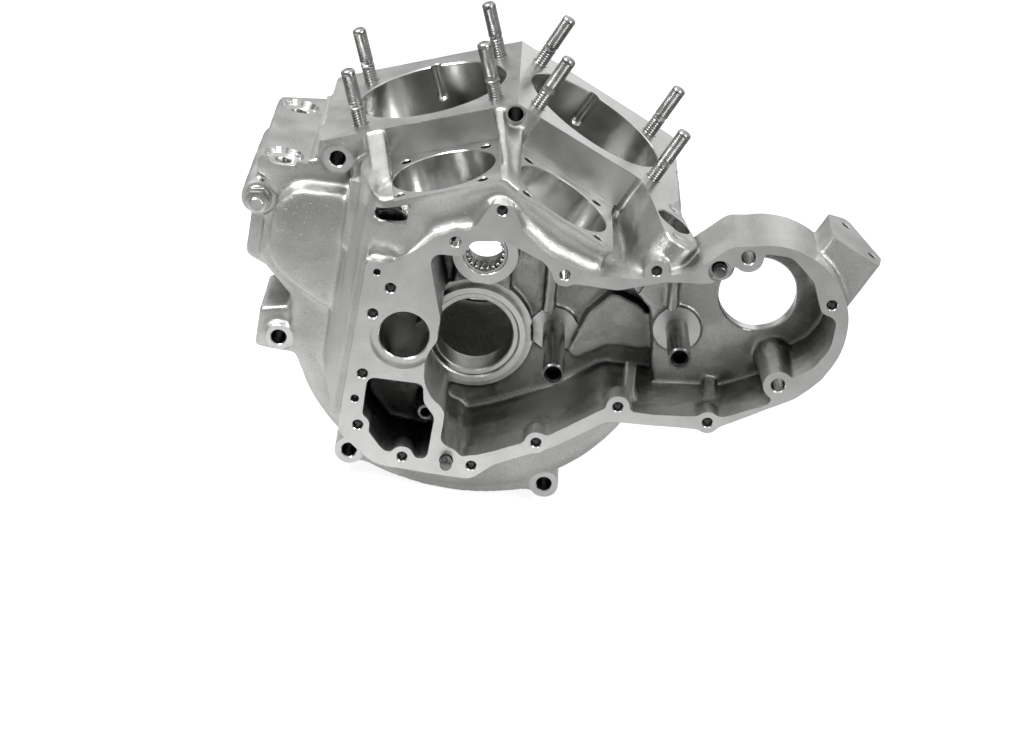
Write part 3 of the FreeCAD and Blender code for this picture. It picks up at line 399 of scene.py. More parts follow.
def drilled(radius, depth, mouth=0.5, clear=7.0):
    """Profile of a drill with a countersink; the face is at height 0."""
    return [
        (0, -clear), (radius + mouth, -clear), (radius + mouth, 0), (radius, mouth),
        (radius, depth), (0, depth + 0.5 * radius)]


print("lathe ready")

# %% [markdown]
# ## From solid to casting
# The plain solid has sharp corners that no foundry could pour. It is taken through
# the same steps as the real case. First the machined faces get extra stock. Then a
# voxel remesh and smoothing round every corner, as sand does. At last the stock is
# cut away again by exact tools, which leaves crisp edges on soft walls.

# %% Casting helpers


def finished_mesh(thing):
    """Applies the modifiers of an object."""
    graph = bpy.context.evaluated_depsgraph_get()
    mesh = bpy.data.meshes.new_from_object(thing.evaluated_get(graph))
    thing.modifiers.clear()
    old = thing.data
    thing.data = mesh
    bpy.data.meshes.remove(old)


def spots_of(mesh):
    spots = np.empty(len(mesh.vertices) * 3)
    mesh.vertices.foreach_get("co", spots)
    return spots.reshape(-1, 3)


class Stock:
    """Moves points of a solid that lie on faces to be machined."""

    def __init__(self, mesh):
        self.mesh = mesh
        self.old = spots_of(mesh)
        self.new = self.old.copy()
        self.count = 0

    def _near(self, centre, axis, radius):
        if centre is None:
            return np.ones(len(self.old), bool)
        away = self.old - np.array(centre)
        away -= np.outer(away @ np.array(axis), np.array(axis))
        return np.linalg.norm(away, axis=1) < radius * MM

    def face(self, normal, height, extra, centre=None, radius=0, within=None):
        """Raises a flat face at height along normal, near centre or within bounds."""
        normal = np.array(normal)
        hit = abs(self.old @ normal - height * MM) < 3e-5
        hit &= self._near(centre, normal, radius)
        if within is not None:
            hit &= within(self.old / MM)
        self.new[hit] += normal * extra * MM
        self.count += int(hit.sum())

    def bore(self, foot, axis, radius, low, high, extra=2.0):
        """Thickens the wall of a bore."""
        axis = np.array(axis)
        away = self.old - np.array(foot)
        height = away @ axis
        away -= np.outer(height, axis)
        reach = np.linalg.norm(away, axis=1)
        hit = (abs(reach - radius * MM) < 4e-5) & (height > low * MM) & (height < high * MM)
        self.new[hit] -= away[hit] / reach[hit, None] * extra * MM
        self.count += int(hit.sum())

    def done(self):
        self.mesh.vertices.foreach_set("co", self.new.ravel())
        self.mesh.update()
        print("stock on", self.count, "points")


def merged_copy(node_name, name):
    """Copy of a solid with its loose triangles joined."""
    bm = bmesh.new()
    bm.from_mesh(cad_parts[node_name].data)
    bmesh.ops.remove_doubles(bm, verts=bm.verts, dist=1e-6)
    mesh = bpy.data.meshes.new(name)
    bm.to_mesh(mesh)
    bm.free()
    mesh.materials.clear()
    for finish in (CAST, FACE, BORE):
        mesh.materials.append(finish)
    casting = bpy.data.objects.new(name, mesh)
    bpy.context.scene.collection.objects.link(casting)
    return casting


print("casting helpers ready")

# %% [markdown]
# The pour smooths the whole casting a little and some places a lot. Weights between
# 0 and 1 tell where; they fade softly, or else the smoothing would leave a line.

# %% Weights and the pour


def ramped(values, low, high):
    """0 below low, 1 above high, smooth between."""
    part = np.clip((values - low) / (high - low), 0, 1)
    return part * part * (3 - 2 * part)


def within_box(spots, low, high, soft):
    """Weight of points in a box, in millimetres, fading over soft at its sides."""
    weight = np.ones(len(spots))
    for i in range(3):
        weight *= ramped(spots[:, i], low[i], low[i] + soft)
        weight *= 1 - ramped(spots[:, i], high[i] - soft, high[i])
    return weight


def distance_to_line(spots, line):
    """Distance in the XZ plane from points to a line of straight pieces."""
    nearest = np.full(len(spots), 1e9)
    for start, end in zip(line, line[1:]):
        run = np.subtract(end, start)
        away = spots[:, (0, 2)] - start
        share = np.clip(away @ run / (run @ run), 0, 1)
        nearest = np.minimum(nearest, np.linalg.norm(away - np.outer(share, run), axis=1))
    return nearest


def poured(casting, voxel, zones, hollow=None):
    """Rounds all corners, more of them in the zones and where hollow sinks the wall."""
    melt = casting.modifiers.new("melt", "REMESH")
    melt.mode = "VOXEL"
    melt.voxel_size = voxel
    melt.use_smooth_shade = True
    finished_mesh(casting)
    soften = casting.modifiers.new("soften", "SMOOTH")
    soften.factor = 0.5
    soften.iterations = 12
    finished_mesh(casting)
    spots = spots_of(casting.data) / MM
    weight = np.zeros(len(spots))
    for low, high, soft, amount in zones:
        weight = np.maximum(weight, amount * within_box(spots, low, high, soft))
    if hollow is not None:
        spots, soft_weight = hollow(spots)
        weight = np.maximum(weight, soft_weight)
        casting.data.vertices.foreach_set("co", (spots * MM).ravel())
    levels = np.round(weight * 8).astype(int)
    group = casting.vertex_groups.new(name="blend")
    for level in range(1, 9):
        group.add(np.nonzero(levels == level)[0].tolist(), level / 8, "REPLACE")
    flow = casting.modifiers.new("flow", "SMOOTH")
    flow.factor = 0.6
    flow.iterations = 60
    flow.vertex_group = "blend"
    clouds = bpy.data.textures.new("sand_waves", "CLOUDS")
    clouds.noise_scale = 0.016
    waves = casting.modifiers.new("waves", "DISPLACE")
    waves.texture = clouds
    waves.texture_coords = "LOCAL"
    waves.strength = 0.0007
    waves.mid_level = 0.5
    finished_mesh(casting)
    casting.vertex_groups.clear()
    spots = spots_of(casting.data)
    for i in (0, 2):
        spots[:, i] = np.clip(spots[:, i], cad_box[0][i] + 1e-5, cad_box[1][i] + 0.004)
    casting.data.vertices.foreach_set("co", spots.ravel())
    print(casting.name, len(casting.data.polygons), "faces poured")


print("ready to pour")

# %% [markdown]
# A boolean modifier takes the tools away, and each cut face inherits the tool's
# finish. At the end flat regions are thinned, and short rays count how much open air
# every point sees. The materials paint shade on what sees little.

# %% Cutting, thinning and measuring


def cut_away(casting, tools):
    """Takes the tools' solids out of the casting."""
    mesh = bpy.data.meshes.new("tools")
    tools.to_mesh(mesh)
    tools.free()
    for finish in (CAST, FACE, BORE):
        mesh.materials.append(finish)
    cutter = bpy.data.objects.new("tools", mesh)
    bpy.context.scene.collection.objects.link(cutter)
    bite = casting.modifiers.new("bite", "BOOLEAN")
    bite.operation = "DIFFERENCE"
    bite.solver = "MANIFOLD"
    bite.object = cutter
    before = len(casting.data.polygons)
    finished_mesh(casting)
    bpy.data.objects.remove(cutter)
    print(casting.name, before, "to", len(casting.data.polygons), "faces")


def thinned(casting, triangles):
    """Fewer triangles where the surface is flat, and crisp machined edges."""
    now = sum(len(p.vertices) - 2 for p in casting.data.polygons)
    fewer = casting.modifiers.new("fewer", "DECIMATE")
    fewer.ratio = min(1.0, triangles / now)
    finished_mesh(casting)
    casting.data.shade_smooth()
    casting.data.set_sharp_from_angle(angle=math.radians(33))
    skins = np.empty(len(casting.data.polygons), int)
    casting.data.polygons.foreach_get("material_index", skins)
    casting.data.polygons.foreach_set("use_smooth", skins != FLAT)
    print(casting.name, len(skins), "triangles, by finish", np.bincount(skins))


def feelers(count):
    """Directions spread evenly over a half sphere about Z."""
    golden = math.pi * (3 - math.sqrt(5))
    rays = []
    for i in range(count):
        lift = math.sqrt((i + 0.5) / count)
        flat = math.sqrt(1 - lift * lift)
        rays.append(Vector((flat * math.cos(golden * i), flat * math.sin(golden * i), lift)))
    return rays


def free_share(tree, spot, normal, rays, reach):
    """Share of the rays from a spot that meet nothing within reach."""
    turn = normal.to_track_quat("Z", "Y").to_matrix()
    start = spot + normal * 0.0006
    free = sum(tree.ray_cast(start, turn @ ray, reach)[0] is None for ray in rays)
    return free / len(rays)


def measure_openness(castings, reach=0.12):
    """Stores how much open air each corner sees, for the painted shade in the materials."""
    corners, sides = [], []
    for casting in castings:
        first = len(corners)
        corners += [v.co for v in casting.data.vertices]
        sides += [[first + i for i in p.vertices] for p in casting.data.polygons]
    tree = BVHTree.FromPolygons(corners, sides)
    rays = feelers(14)
    for casting in castings:
        mesh = casting.data
        shares = [free_share(tree, v.co, v.normal, rays, reach) for v in mesh.vertices]
        at_corners = [shares[loop.vertex_index] for loop in mesh.loops]
        for side in mesh.polygons:
            if side.material_index == FLAT:
                for corner in side.loop_indices:
                    spot = mesh.vertices[mesh.loops[corner].vertex_index].co
                    inner = spot.lerp(side.center, 0.05)
                    at_corners[corner] = free_share(tree, inner, side.normal, rays, reach)
        layer = mesh.attributes.new("open_sky", "FLOAT", "CORNER")
        layer.data.foreach_set("value", at_corners)
        print(casting.name, "mean openness", round(sum(shares) / len(shares), 2))


print("foundry ready")

# %% [markdown]
# ## Sizes that many tools share
# The same sizes place the stock before the pour and the cutting tools after it, so
# each is written once, in millimetres. Heights of decks, pads and ends are measured
# along their bank. Places on the gear side are pairs of x and z, and the idlers add
# the depth of their seat.

# %% Shared sizes
DECK = 145
REAR_PAD, FRONT_PAD = 123.5, 119.0
PADS = ((REAR, 8.5, REAR_PAD), (FRONT, -8.5, FRONT_PAD))
CYLINDER = 50.3
WINDOW_Y, WINDOW = -103.5, 33
GASKET_Y, WALL_Y, BACK_Y = -145, -62, 58
LUG_Z, LAND_Z, END_HEIGHT = 90, 96, 198
CAM, SHAFT_AXIS = (-3, 60), (0, 0)
BREATHER, GENERATOR = (-45.7, 17), (174.5, 70)
BOLTS = [(0.0, 148.5), (-107.8, 96.5), (-127.5, -36.4), (-68.0, -111.0), (68.0, -111.0)]
CLAMP = (-155.0, 57.5)
IDLERS = [(51.6, 10.7, -75.0), (128.0, 37.0, -100.0)]
STUD_SPOTS = [(-45, 45), (45, 45), (45, -45), (-45, -45)]
COVER_SCREWS = [
    (-59.4, 49.2), (-67.6, 29.9), (-67.4, -12.5), (-64.7, -48.9), (-33.0, -66.1), (12.0, -63.9),
    (50.1, -39.4), (96.7, -4.2), (155.1, -4.0), (213.7, 90.8), (101.6, 92.4), (46.1, 78.8),
    (0.0, 113.5), (-24.8, 87.6),
]


def on_side(place, y):
    """Point of the gear side at depth y."""
    return at(place[0], y, place[1])


print(len(COVER_SCREWS), "cover screws,", len(BOLTS), "case bolts")

# %% [markdown]
# ## Right half: stock on what gets machined
# Every flat face and big bore of the right half is named here once, with how much
# metal to add before the pour.

# %% Stock on the right half
right = merged_copy("right_case", "right_half_casting")
stock = Stock(right.data)
for bank, t, height in PADS:
    stock.bore(bank.point(0, 0, 0), bank.up, CYLINDER, 90, 146)
    stock.bore(bank.point(t, WINDOW_Y, 0), bank.up, WINDOW, 60, 125)
    stock.face(bank.up, DECK, 4.0, within=lambda p: p[:, 0] < 105)
    stock.face(bank.up, height, 3.0, within=lambda p: (p[:, 1] < -60) & (p[:, 0] < 75))
stock.face(OUTWARD, -WALL_Y, 1.2, within=lambda p: p[:, 2] > 100)
stock.face(UP, LAND_Z, 2.5, within=lambda p: (p[:, 0] < -80) & (p[:, 1] < -70))
stock.bore(FRONT.point(59.5, -103, 0), FRONT.up, 11.9, 80, 146)
stock.bore(on_side(CAM, 0), INWARD, 14.32, -90, -50)
stock.bore(on_side(SHAFT_AXIS, 0), INWARD, 29.62, -90, -50)
stock.bore(on_side(BREATHER, 0), INWARD, 15.8, -150, -75)
stock.bore(on_side(GENERATOR, 0), INWARD, 25.3, -150, -80)
stock.face(OUTWARD, -GASKET_Y, 4.0)
stock.face(INWARD, 0, 4.0)
stock.face(UP, LUG_Z, 3.0, within=lambda p: p[:, 0] < -100)
stock.face(FRONT.up, END_HEIGHT, 3.0)
stock.face(OUTWARD, 84, 2.5, on_side(SHAFT_AXIS, 0), 40)
stock.face(OUTWARD, 79, 2.5, on_side(SHAFT_AXIS, 0), 40)
stock.face(OUTWARD, 87, 2.5, on_side(CAM, 0), 22)
stock.face(OUTWARD, 141, 2.5, on_side(BREATHER, 0), 22)
for x, z, y in IDLERS:
    stock.face(OUTWARD, -y, 2.0, at(x, 0, z), 16)
for place in BOLTS:
    stock.face(OUTWARD, -WALL_Y, 2.5, on_side(place, 0), 10.2)
stock.face(OUTWARD, 56, 2.5, on_side(CLAMP, 0), 12)
stock.done()

# %% [markdown]
# ## Right half: cove and dome
# Above the chest rim the wall runs back in a soft cove, which makes the rim stand
# proud, and the rear flank swells into a dome. A function of place shifts the points
# of the casting along the crank, and says how much they are smoothed afterwards.

# %% Shape of the cove and the dome
RIM_TOP = [
    (-77, 64), (-59, 66), (-36, 90), (-15, 98), (-8, 115), (8, 115), (15, 103), (33, 90),
    (62, 81.5), (92, 85)]


def behind_rim(spots):
    """Sinks the wall above the chest rim and swells the rear dome."""
    x, y, z = spots.T
    above = (z > np.interp(x, *zip(*RIM_TOP))) & (x > -77) & (x < 92) & (y < -120)
    off = distance_to_line(spots, RIM_TOP)
    rear = REAR_PAD - np.array(REAR.up) @ spots.T
    front = FRONT_PAD - np.array(FRONT.up) @ spots.T
    below_pad = np.where(x < 0, rear, front)
    sink = 6.5 * off / 9 * np.exp(1 - off / 9)
    sink = sink * ramped(below_pad, 0, 9) * ramped(-y, 132, 141) * above
    sink *= np.maximum(ramped(x, -56, -42), ramped(-z, -76, -69))
    dome = np.clip(1 - ((x + 112) / 36) ** 2 - ((z - 32) / 50) ** 2, 0, 1)
    sink -= 7 * dome * ramped(-y, 66, 74) * (y > -90) * (x < -80)
    soft = 0.9 * ramped(off, 1.0, 5) * ramped(-y, 122, 131) * above
    moved = spots.copy()
    moved[:, 1] += sink
    return moved, soft


print("rim line of", len(RIM_TOP), "points")

# %% [markdown]
# ## Right half: the pour
# Two lumps are laid into the solid first: one fills the saddle beside the front pad,
# one closes the corner of the rear pad above the oil port. The remesh melts them
# into the wall. The boxes say where corners flow more than elsewhere.

# %% Pour the right half
lumps = bmesh.new()
lumps.from_mesh(right.data)
turned(lumps, FRONT.point(38, -126, 98), INWARD, [
    (0, 0), (5, 2), (8, 5), (10, 10), (13, 25), (15, 62), (0, 62)], 24)
turned(lumps, REAR.point(-21.8, -129.5, 119.5), REAR.up, [
    (0, 0), (13.2, 0), (13.2, 7), (0, 7)], 40)
lumps.to_mesh(right.data)
lumps.free()
poured(right, 0.0012, [
    ((-170, -80, -70), (-75, -52, 84), 9, 1.0),
    ((-110, -136, -40), (-72, -60, 84), 9, 0.8),
    ((-110, -134, -80), (240, -66, -12), 9, 0.25),
    ((55, -136, 60), (130, -70, 130), 10, 0.7),
    ((-40, -136, 76), (50, -75, 108), 7, 0.5),
    ((52, -138, 80), (96, -62, 118), 7, 1.0),
], behind_rim)

# %% [markdown]
# ## Right half: the flat faces
# The gasket face and the joint face are cut first. Then one V-shaped tool levels
# both decks, and two more level the tappet pads and the walls behind them. The front
# pad keeps a small cast ledge at its wall's foot, which the cutter can't reach.

# %% Face the right half
tools = bmesh.new()
slab(tools, upright(-130, 260, -120, 230, GASKET_Y), at(0, -20, 0))
slab(tools, upright(-200, 200, -160, 230, 0), at(0, 20, 0))
cut_away(right, tools)


def deck_tool(y_near, y_far, reach):
    """V-shaped slab that levels both decks."""
    ridge = DECK / math.cos(math.radians(22.5))
    outline = [
        REAR.point(-95, y_near, DECK), at(0, y_near, ridge), FRONT.point(reach, y_near, DECK),
        FRONT.point(reach, y_near, 152), at(0, y_near, ridge + 20), REAR.point(-95, y_near, 165)]
    return outline, at(0, y_far - y_near, 0)


tools = bmesh.new()
slab(tools, *deck_tool(-160, 10, 79.5))
corners = [(-27.9, WALL_Y), (-20.3, -152), (47.8, -152), (43.0, WALL_Y)]
slab(tools, [REAR.point(t, y, REAR_PAD) for t, y in corners], REAR.up * 21 * MM)
step = [
    (-152, FRONT_PAD), (-64.4, FRONT_PAD), (-64.4, 121), (WALL_Y, 121), (WALL_Y, 144.5),
    (-152, 144.5)]
slab(tools, [FRONT.point(-41.8, y, h) for y, h in step], FRONT.across * 73.8 * MM)
slab(tools, rectangle(-99, -81, -95, -70, LAND_Z), at(0, 0, 6))
slab(tools, rectangle(-170, -126, -80, 10, LUG_Z), at(0, 0, 12))
corners = [(130, -140), (195, -140), (195, -60), (130, -60)]
slab(tools, [FRONT.point(t, y, END_HEIGHT) for t, y in corners], FRONT.up * 0.01)
cut_away(right, tools)

# %% [markdown]
# ## Right half: bores and holes
# Tools in one cut mustn't touch each other, and the two cylinder bores cross deep
# inside. So the bores go in two rounds, and the small screw holes in a third.

# %% Bore the right half, first round
tools = bmesh.new()
turned(tools, REAR.point(0, 0, DECK), -REAR.up, drilled(CYLINDER, 60, 0.7), 144)
turned(tools, FRONT.point(-8.5, WINDOW_Y, FRONT_PAD), -FRONT.up, [
    (0, -7), (33.5, -7), (33.5, 0), (33, 0.5), (33, 36), (0, 36)], 112)
turned(tools, FRONT.point(59.5, -103, DECK), -FRONT.up, [
    (0, -7), (12.6, -7), (12.6, 0), (11.9, 0.7), (11.9, 85), (0, 85)], 64)
turned(tools, on_side(SHAFT_AXIS, -84), INWARD, [
    (0, -8), (39.2, -8), (39.2, 5), (34, 5), (34, 0), (30.4, 0), (29.6, 0.8), (29.6, 30),
    (0, 30)], 112)
turned(tools, on_side(BREATHER, GASKET_Y), INWARD, [
    (0, -7), (21.5, -7), (21.5, 4), (16.6, 4), (15.8, 4.8), (15.8, 66), (0, 66)], 80)
turned(tools, on_side(GENERATOR, -97), INWARD, [
    (0, -3), (26.2, -3), (26.2, 0), (25.3, 0.9), (25.3, 20), (0, 20)], 96)
for x, z, y in IDLERS:
    turned(tools, at(x, y, z), INWARD, [
        (0, -6), (16, -6), (16, 0), (6.45, 0), (6.45, 12), (0, 12)], 48)
turned(tools, on_side(BOLTS[0], WALL_Y), INWARD, [
    (0, -9), (6.6, -9), (6.6, 0), (5.1, 0), (5.1, 70), (0, 70)], 32)
for place in BOLTS[1:]:
    turned(tools, on_side(place, WALL_Y), INWARD, [
        (0, -9), (10.4, -9), (10.4, 0), (5.7, 0), (5.1, 0.6), (5.1, 70), (0, 70)], 40)
turned(tools, on_side(CLAMP, -56), INWARD, [
    (0, -20), (12, -20), (12, 0), (5.1, 0), (5.1, 70), (0, 70)], 40)
LUG_CUT = [
    (0, -7), (13.1, -7), (13.1, 0), (11.0, 3.4), (5.9, 3.4), (5.4, 3.9), (5.4, 21), (0, 21)]
turned(tools, at(-142.4, -54, LUG_Z), -UP, LUG_CUT, 48)
turned(tools, at(-66.5, -130, 92), -UP, [
    (0, -4), (12.5, -4), (12.5, 0), (9, 0), (8, 1), (8, 15), (0, 15)], 48)
cut_away(right, tools)

# %% [markdown]
# The second round has the other cylinder bore, the other window and the cam bore.
# A wedge opens the wall before the oil port.

# %% Bore the right half, second round
tools = bmesh.new()
turned(tools, FRONT.point(0, 0, DECK), -FRONT.up, drilled(CYLINDER, 60, 0.7), 144)
turned(tools, REAR.point(8.5, WINDOW_Y, REAR_PAD), -REAR.up, [
    (0, -7), (33.5, -7), (33.5, 0), (33, 0.5), (33, 44), (0, 44)], 112)
turned(tools, on_side(CAM, -87), INWARD, [
    (0, -7), (22, -7), (22, 0), (14.9, 0), (14.3, 0.6), (14.3, 32), (0, 32)], 72)
corners = [(-76, 92), (-57, 92), (-56, 106), (-77, 98.5)]
slab(tools, [at(x, -150, z) for x, z in corners], at(0, 20, 0))
cut_away(right, tools)

# %% [markdown]
# The cover screws, dowels and stud holes are small drills with a countersink, all
# in one round. Then the casting gets its final number of triangles.

# %% Drill the right half
tools = bmesh.new()
for place in COVER_SCREWS:
    turned(tools, on_side(place, GASKET_Y), INWARD, drilled(3.2, 17, 0.6), 32)
for x, z, radius in ((-69.4, 58.3, 2.2), (-69.5, -30.8, 2.6)):
    turned(tools, at(x, GASKET_Y, z), INWARD, drilled(radius, 17, 0.3), 24)
for x, z in ((155.5, 112.1), (193.3, 30.4)):
    turned(tools, at(x, GASKET_Y, z), INWARD, drilled(4.4, 60, 0.6), 32)
turned(tools, at(-4.5, GASKET_Y, -63.2), INWARD, drilled(4.1, 13, 0.5), 32)
turned(tools, at(140.1, GASKET_Y, 99.6), INWARD, [
    (0, -7), (7.3, -7), (7.3, 0), (7, 0.3), (7, 6), (4.1, 6), (4.1, 20), (0, 20)], 32)
for bank, t0, height in PADS:
    for dt, dy in ((-26.25, -30), (-26.25, 30), (26.25, -30), (26.25, 30)):
        mouth = bank.point(t0 + dt, WINDOW_Y + dy, height)
        turned(tools, mouth, -bank.up, drilled(3.2, 16, 0.5, 5), 32)
    for t, y in STUD_SPOTS[2:]:
        turned(tools, bank.point(t, y, DECK), -bank.up, drilled(4.9, 21, 0.8), 32)
for dy in (-24, 24):
    turned(tools, FRONT.point(59.5, -103 + dy, DECK), -FRONT.up, drilled(2.6, 14, 0.4), 24)
for t, y in ((157, -85), (174, -113)):
    turned(tools, FRONT.point(t, y, END_HEIGHT), -FRONT.up, drilled(3.0, 16, 0.5), 32)
cut_away(right, tools)
thinned(right, 188000)

# %% [markdown]
# ## Left half
# The far half is simpler: two decks, a round hub with its bearing seat, and the
# same bosses. A small round notch runs down the wall of each cylinder bore.

# %% Pour the left half
left = merged_copy("left_case", "left_half_casting")
stock = Stock(left.data)
for bank in BANKS:
    stock.bore(bank.point(0, 0, 0), bank.up, CYLINDER, 90, 146)
    stock.face(bank.up, DECK, 4.0)
stock.bore(on_side(SHAFT_AXIS, 0), INWARD, 36.52, 50, 85)
stock.face(OUTWARD, 0, 4.0)
stock.face(UP, LUG_Z, 3.0, within=lambda p: p[:, 0] < -100)
stock.face(INWARD, 84, 3.0, on_side(SHAFT_AXIS, 0), 53)
for place in BOLTS:
    stock.face(INWARD, BACK_Y, 2.5, on_side(place, 0), 10.2)
stock.face(INWARD, BACK_Y, 2.5, on_side(CLAMP, 0), 12)
stock.done()
poured(left, 0.0014, [
    ((-175, 12, -70), (-90, 90, 84), 9, 0.8),
    ((-130, 40, -130), (130, 82, 120), 9, 0.35),
])

# %% [markdown]
# The left half is cut in four rounds, in the same order: joint face and hub, decks,
# one cylinder bore with all the bolt holes, then the other bore. Each round notch is
# in the round of the other bore, so that the two tools don't meet.

# %% Face the left half
tools = bmesh.new()
slab(tools, upright(-200, 200, -160, 230, -20), at(0, 20, 0))
turned(tools, at(0, 83.99, 0), OUTWARD, [
    (0, -8), (53, -8), (53, 0), (37.5, 0), (36.5, 1), (36.5, 30), (0, 30)], 112)
cut_away(left, tools)
tools = bmesh.new()
slab(tools, *deck_tool(-10, 90, 95))
slab(tools, rectangle(-175, -126, -10, 80, LUG_Z), at(0, 0, 12))
cut_away(left, tools)

# %% [markdown]
# The top bolt stands right below the ridge of the decks, so its face gets a narrow
# tool that leaves the ridge whole.

# %% Bore and drill the left half
tools = bmesh.new()
turned(tools, REAR.point(0, 0, DECK), -REAR.up, drilled(CYLINDER, 60, 0.7), 144)
turned(tools, FRONT.point(0, CYLINDER, DECK), -FRONT.up, drilled(4.0, 24, 0.4), 40)
widths = [6.6, 10.4, 10.4, 10.4, 10.4, 12]
for place, wide in zip(BOLTS + [CLAMP], widths):
    turned(tools, on_side(place, BACK_Y), OUTWARD, [
        (0, -9), (wide, -9), (wide, 0), (5.7, 0), (5.1, 0.6), (5.1, 64), (0, 64)], 40)
turned(tools, at(-142.4, 43, LUG_Z), -UP, LUG_CUT, 48)
for bank in BANKS:
    for t, y in STUD_SPOTS[:2]:
        turned(tools, bank.point(t, y, DECK), -bank.up, drilled(4.9, 21, 0.8), 32)
cut_away(left, tools)
tools = bmesh.new()
turned(tools, FRONT.point(0, 0, DECK), -FRONT.up, drilled(CYLINDER, 60, 0.7), 144)
turned(tools, REAR.point(0, CYLINDER, DECK), -REAR.up, drilled(4.0, 24, 0.4), 40)
cut_away(left, tools)
thinned(left, 120000)

# %% [markdown]
# ## Where shade is painted
# Both castings are measured together, because each half shades the crank chamber of
# the other. A flat face is measured corner by corner with its own normal, so that no
# star shows around its holes.

# %% Measure the openness of both halves
measure_openness([right, left])

# %% [markdown]
# ## A piece in place of a solid
# Each new piece stands for one solid of the model, which is hidden, and rides on the
# case. One helper does both.

# %% Hand over the castings


def hand_over(piece, node_name):
    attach(piece, "root")
    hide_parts(node_name)


hand_over(right, "right_case")
hand_over(left, "left_case")


def made_piece(name, bm, finishes, node_name):
    """Turns a bmesh into a piece that stands for a solid."""
    mesh = bpy.data.meshes.new(name)
    bm.to_mesh(mesh)
    bm.free()
    for finish in finishes:
        mesh.materials.append(finish)
    mesh.set_sharp_from_angle(angle=math.radians(33))
    piece = bpy.data.objects.new(name, mesh)
    bpy.context.scene.collection.objects.link(piece)
    hand_over(piece, node_name)
    return piece


print("castings in place")

# %% [markdown]
# ## Cylinder studs
# A stud has a fine thread above for the nut, a short turned waist, and a coarser
# thread that goes into the soft aluminium. A spun rod gives the rings, and each
# ring point then moves in or out with the helix, which cuts a real thread.

# %% Cut one stud and copy it to its eight places


def thread_depth(height, turn, start, end, pitch, depth):
    """How far a thread cuts in at a height and turn, fading out at its ends."""
    if not start < height < end:
        return 0.0
    phase = (height / pitch - turn) % 1.0
    run_out = min(1.0, (height - start) / pitch, (end - height) / pitch)
    return depth * run_out * abs(2 * phase - 1)


def stud_profile():
    rings = [(0, -20), (4.1, -20), (4.5, -19.4), (4.5, -1)]
    height = -0.9
    while height < 11.9:
        rings.append((4.75, height))
        height += 0.3
    rings += [(4.75, 12.0), (4.3, 12.4), (4.3, 14.6), (4.75, 15.0)]
    height = 15.2
    while height < 35.4:
        rings.append((4.75, height))
        height += 0.21
    return rings + [(4.7, 35.6), (4.45, 36.7), (3.9, 37.4), (3.0, 37.85), (0, 38.0)]


blank = bmesh.new()
turned(blank, Vector((0, 0, 0)), UP, stud_profile(), 30, 0, 0)
for v in blank.verts:
    height, turn = v.co.z / MM, math.atan2(v.co.y, v.co.x) / (2 * math.pi)
    radius = math.hypot(v.co.x, v.co.y)
    bite = thread_depth(height, turn, -0.95, 11.95, 1.8, 0.72)
    bite += thread_depth(height, turn, 15.1, 35.5, 1.27, 0.5)
    if bite:
        v.co.x *= 1 - bite * MM / radius
        v.co.y *= 1 - bite * MM / radius
for face in blank.faces:
    spot = face.calc_center_median().z / MM
    face.material_index = 1 if spot > 35.5 or 12 < spot < 15 else 0
stud_mesh = bpy.data.meshes.new("stud")
blank.to_mesh(stud_mesh)
blank.free()
for word, bank in (("rear", REAR), ("front", FRONT)):
    for number, (t, y) in enumerate(STUD_SPOTS, start=1):
        copy = bmesh.new()
        copy.from_mesh(stud_mesh)
        turn = Matrix.Rotation(math.radians(47 * number), 4, "Z")
        lean = bank.up.to_track_quat("Z", "Y").to_matrix().to_4x4()
        place = Matrix.Translation(bank.point(t, y, DECK)) @ lean @ turn
        bmesh.ops.transform(copy, matrix=place, verts=copy.verts)
        made_piece(
            "%s_cylinder_stud_%d" % (word, number), copy, (STUD, STUD_END),
            "%s_stud_%d" % (word, number))
print("8 studs of", len(stud_mesh.vertices), "points")

# %% [markdown]
# ## Shafts, rings and dowels
# What is left is lathe work: two idler shafts with a tapped hole in the end, the
# pinion race, the cam's needle bearing, the tapered races in the hub and the
# locating dowels.

# %% Turn the small parts
for word, (x, z, y) in zip(("rear", "front"), IDLERS):
    shaft = bmesh.new()
    deep = y + 146
    turned(shaft, at(x, -146, z), INWARD, [
        (0, 17), (4.6, 15), (4.6, 2.4), (5.8, 1.2), (5.8, 0), (6.5, 0), (7.4, 0.9), (7.4, deep),
        (6.4, deep), (6.4, deep + 11.6), (0, deep + 11.6)], 64, 0, 0)
    for face in shaft.faces:
        spot = face.calc_center_median()
        reach = math.hypot(spot.x - x * MM, spot.z - z * MM) / MM
        # painted shade: the hole in the shaft end takes the near-black steel
        face.material_index = 1 if reach < 5.9 and spot.y < -0.125 else 0
    made_piece(
        "idler_shaft_%s_turned" % word, shaft, (SHAFT, HOLE_SHADE), "idler_shaft_" + word)


def ring_piece(name, foot, axis, profile, finish, node_name, steps=96):
    ring = bmesh.new()
    turned(ring, foot, axis, profile, steps, 0, 0)
    return made_piece(name, ring, (finish,), node_name)


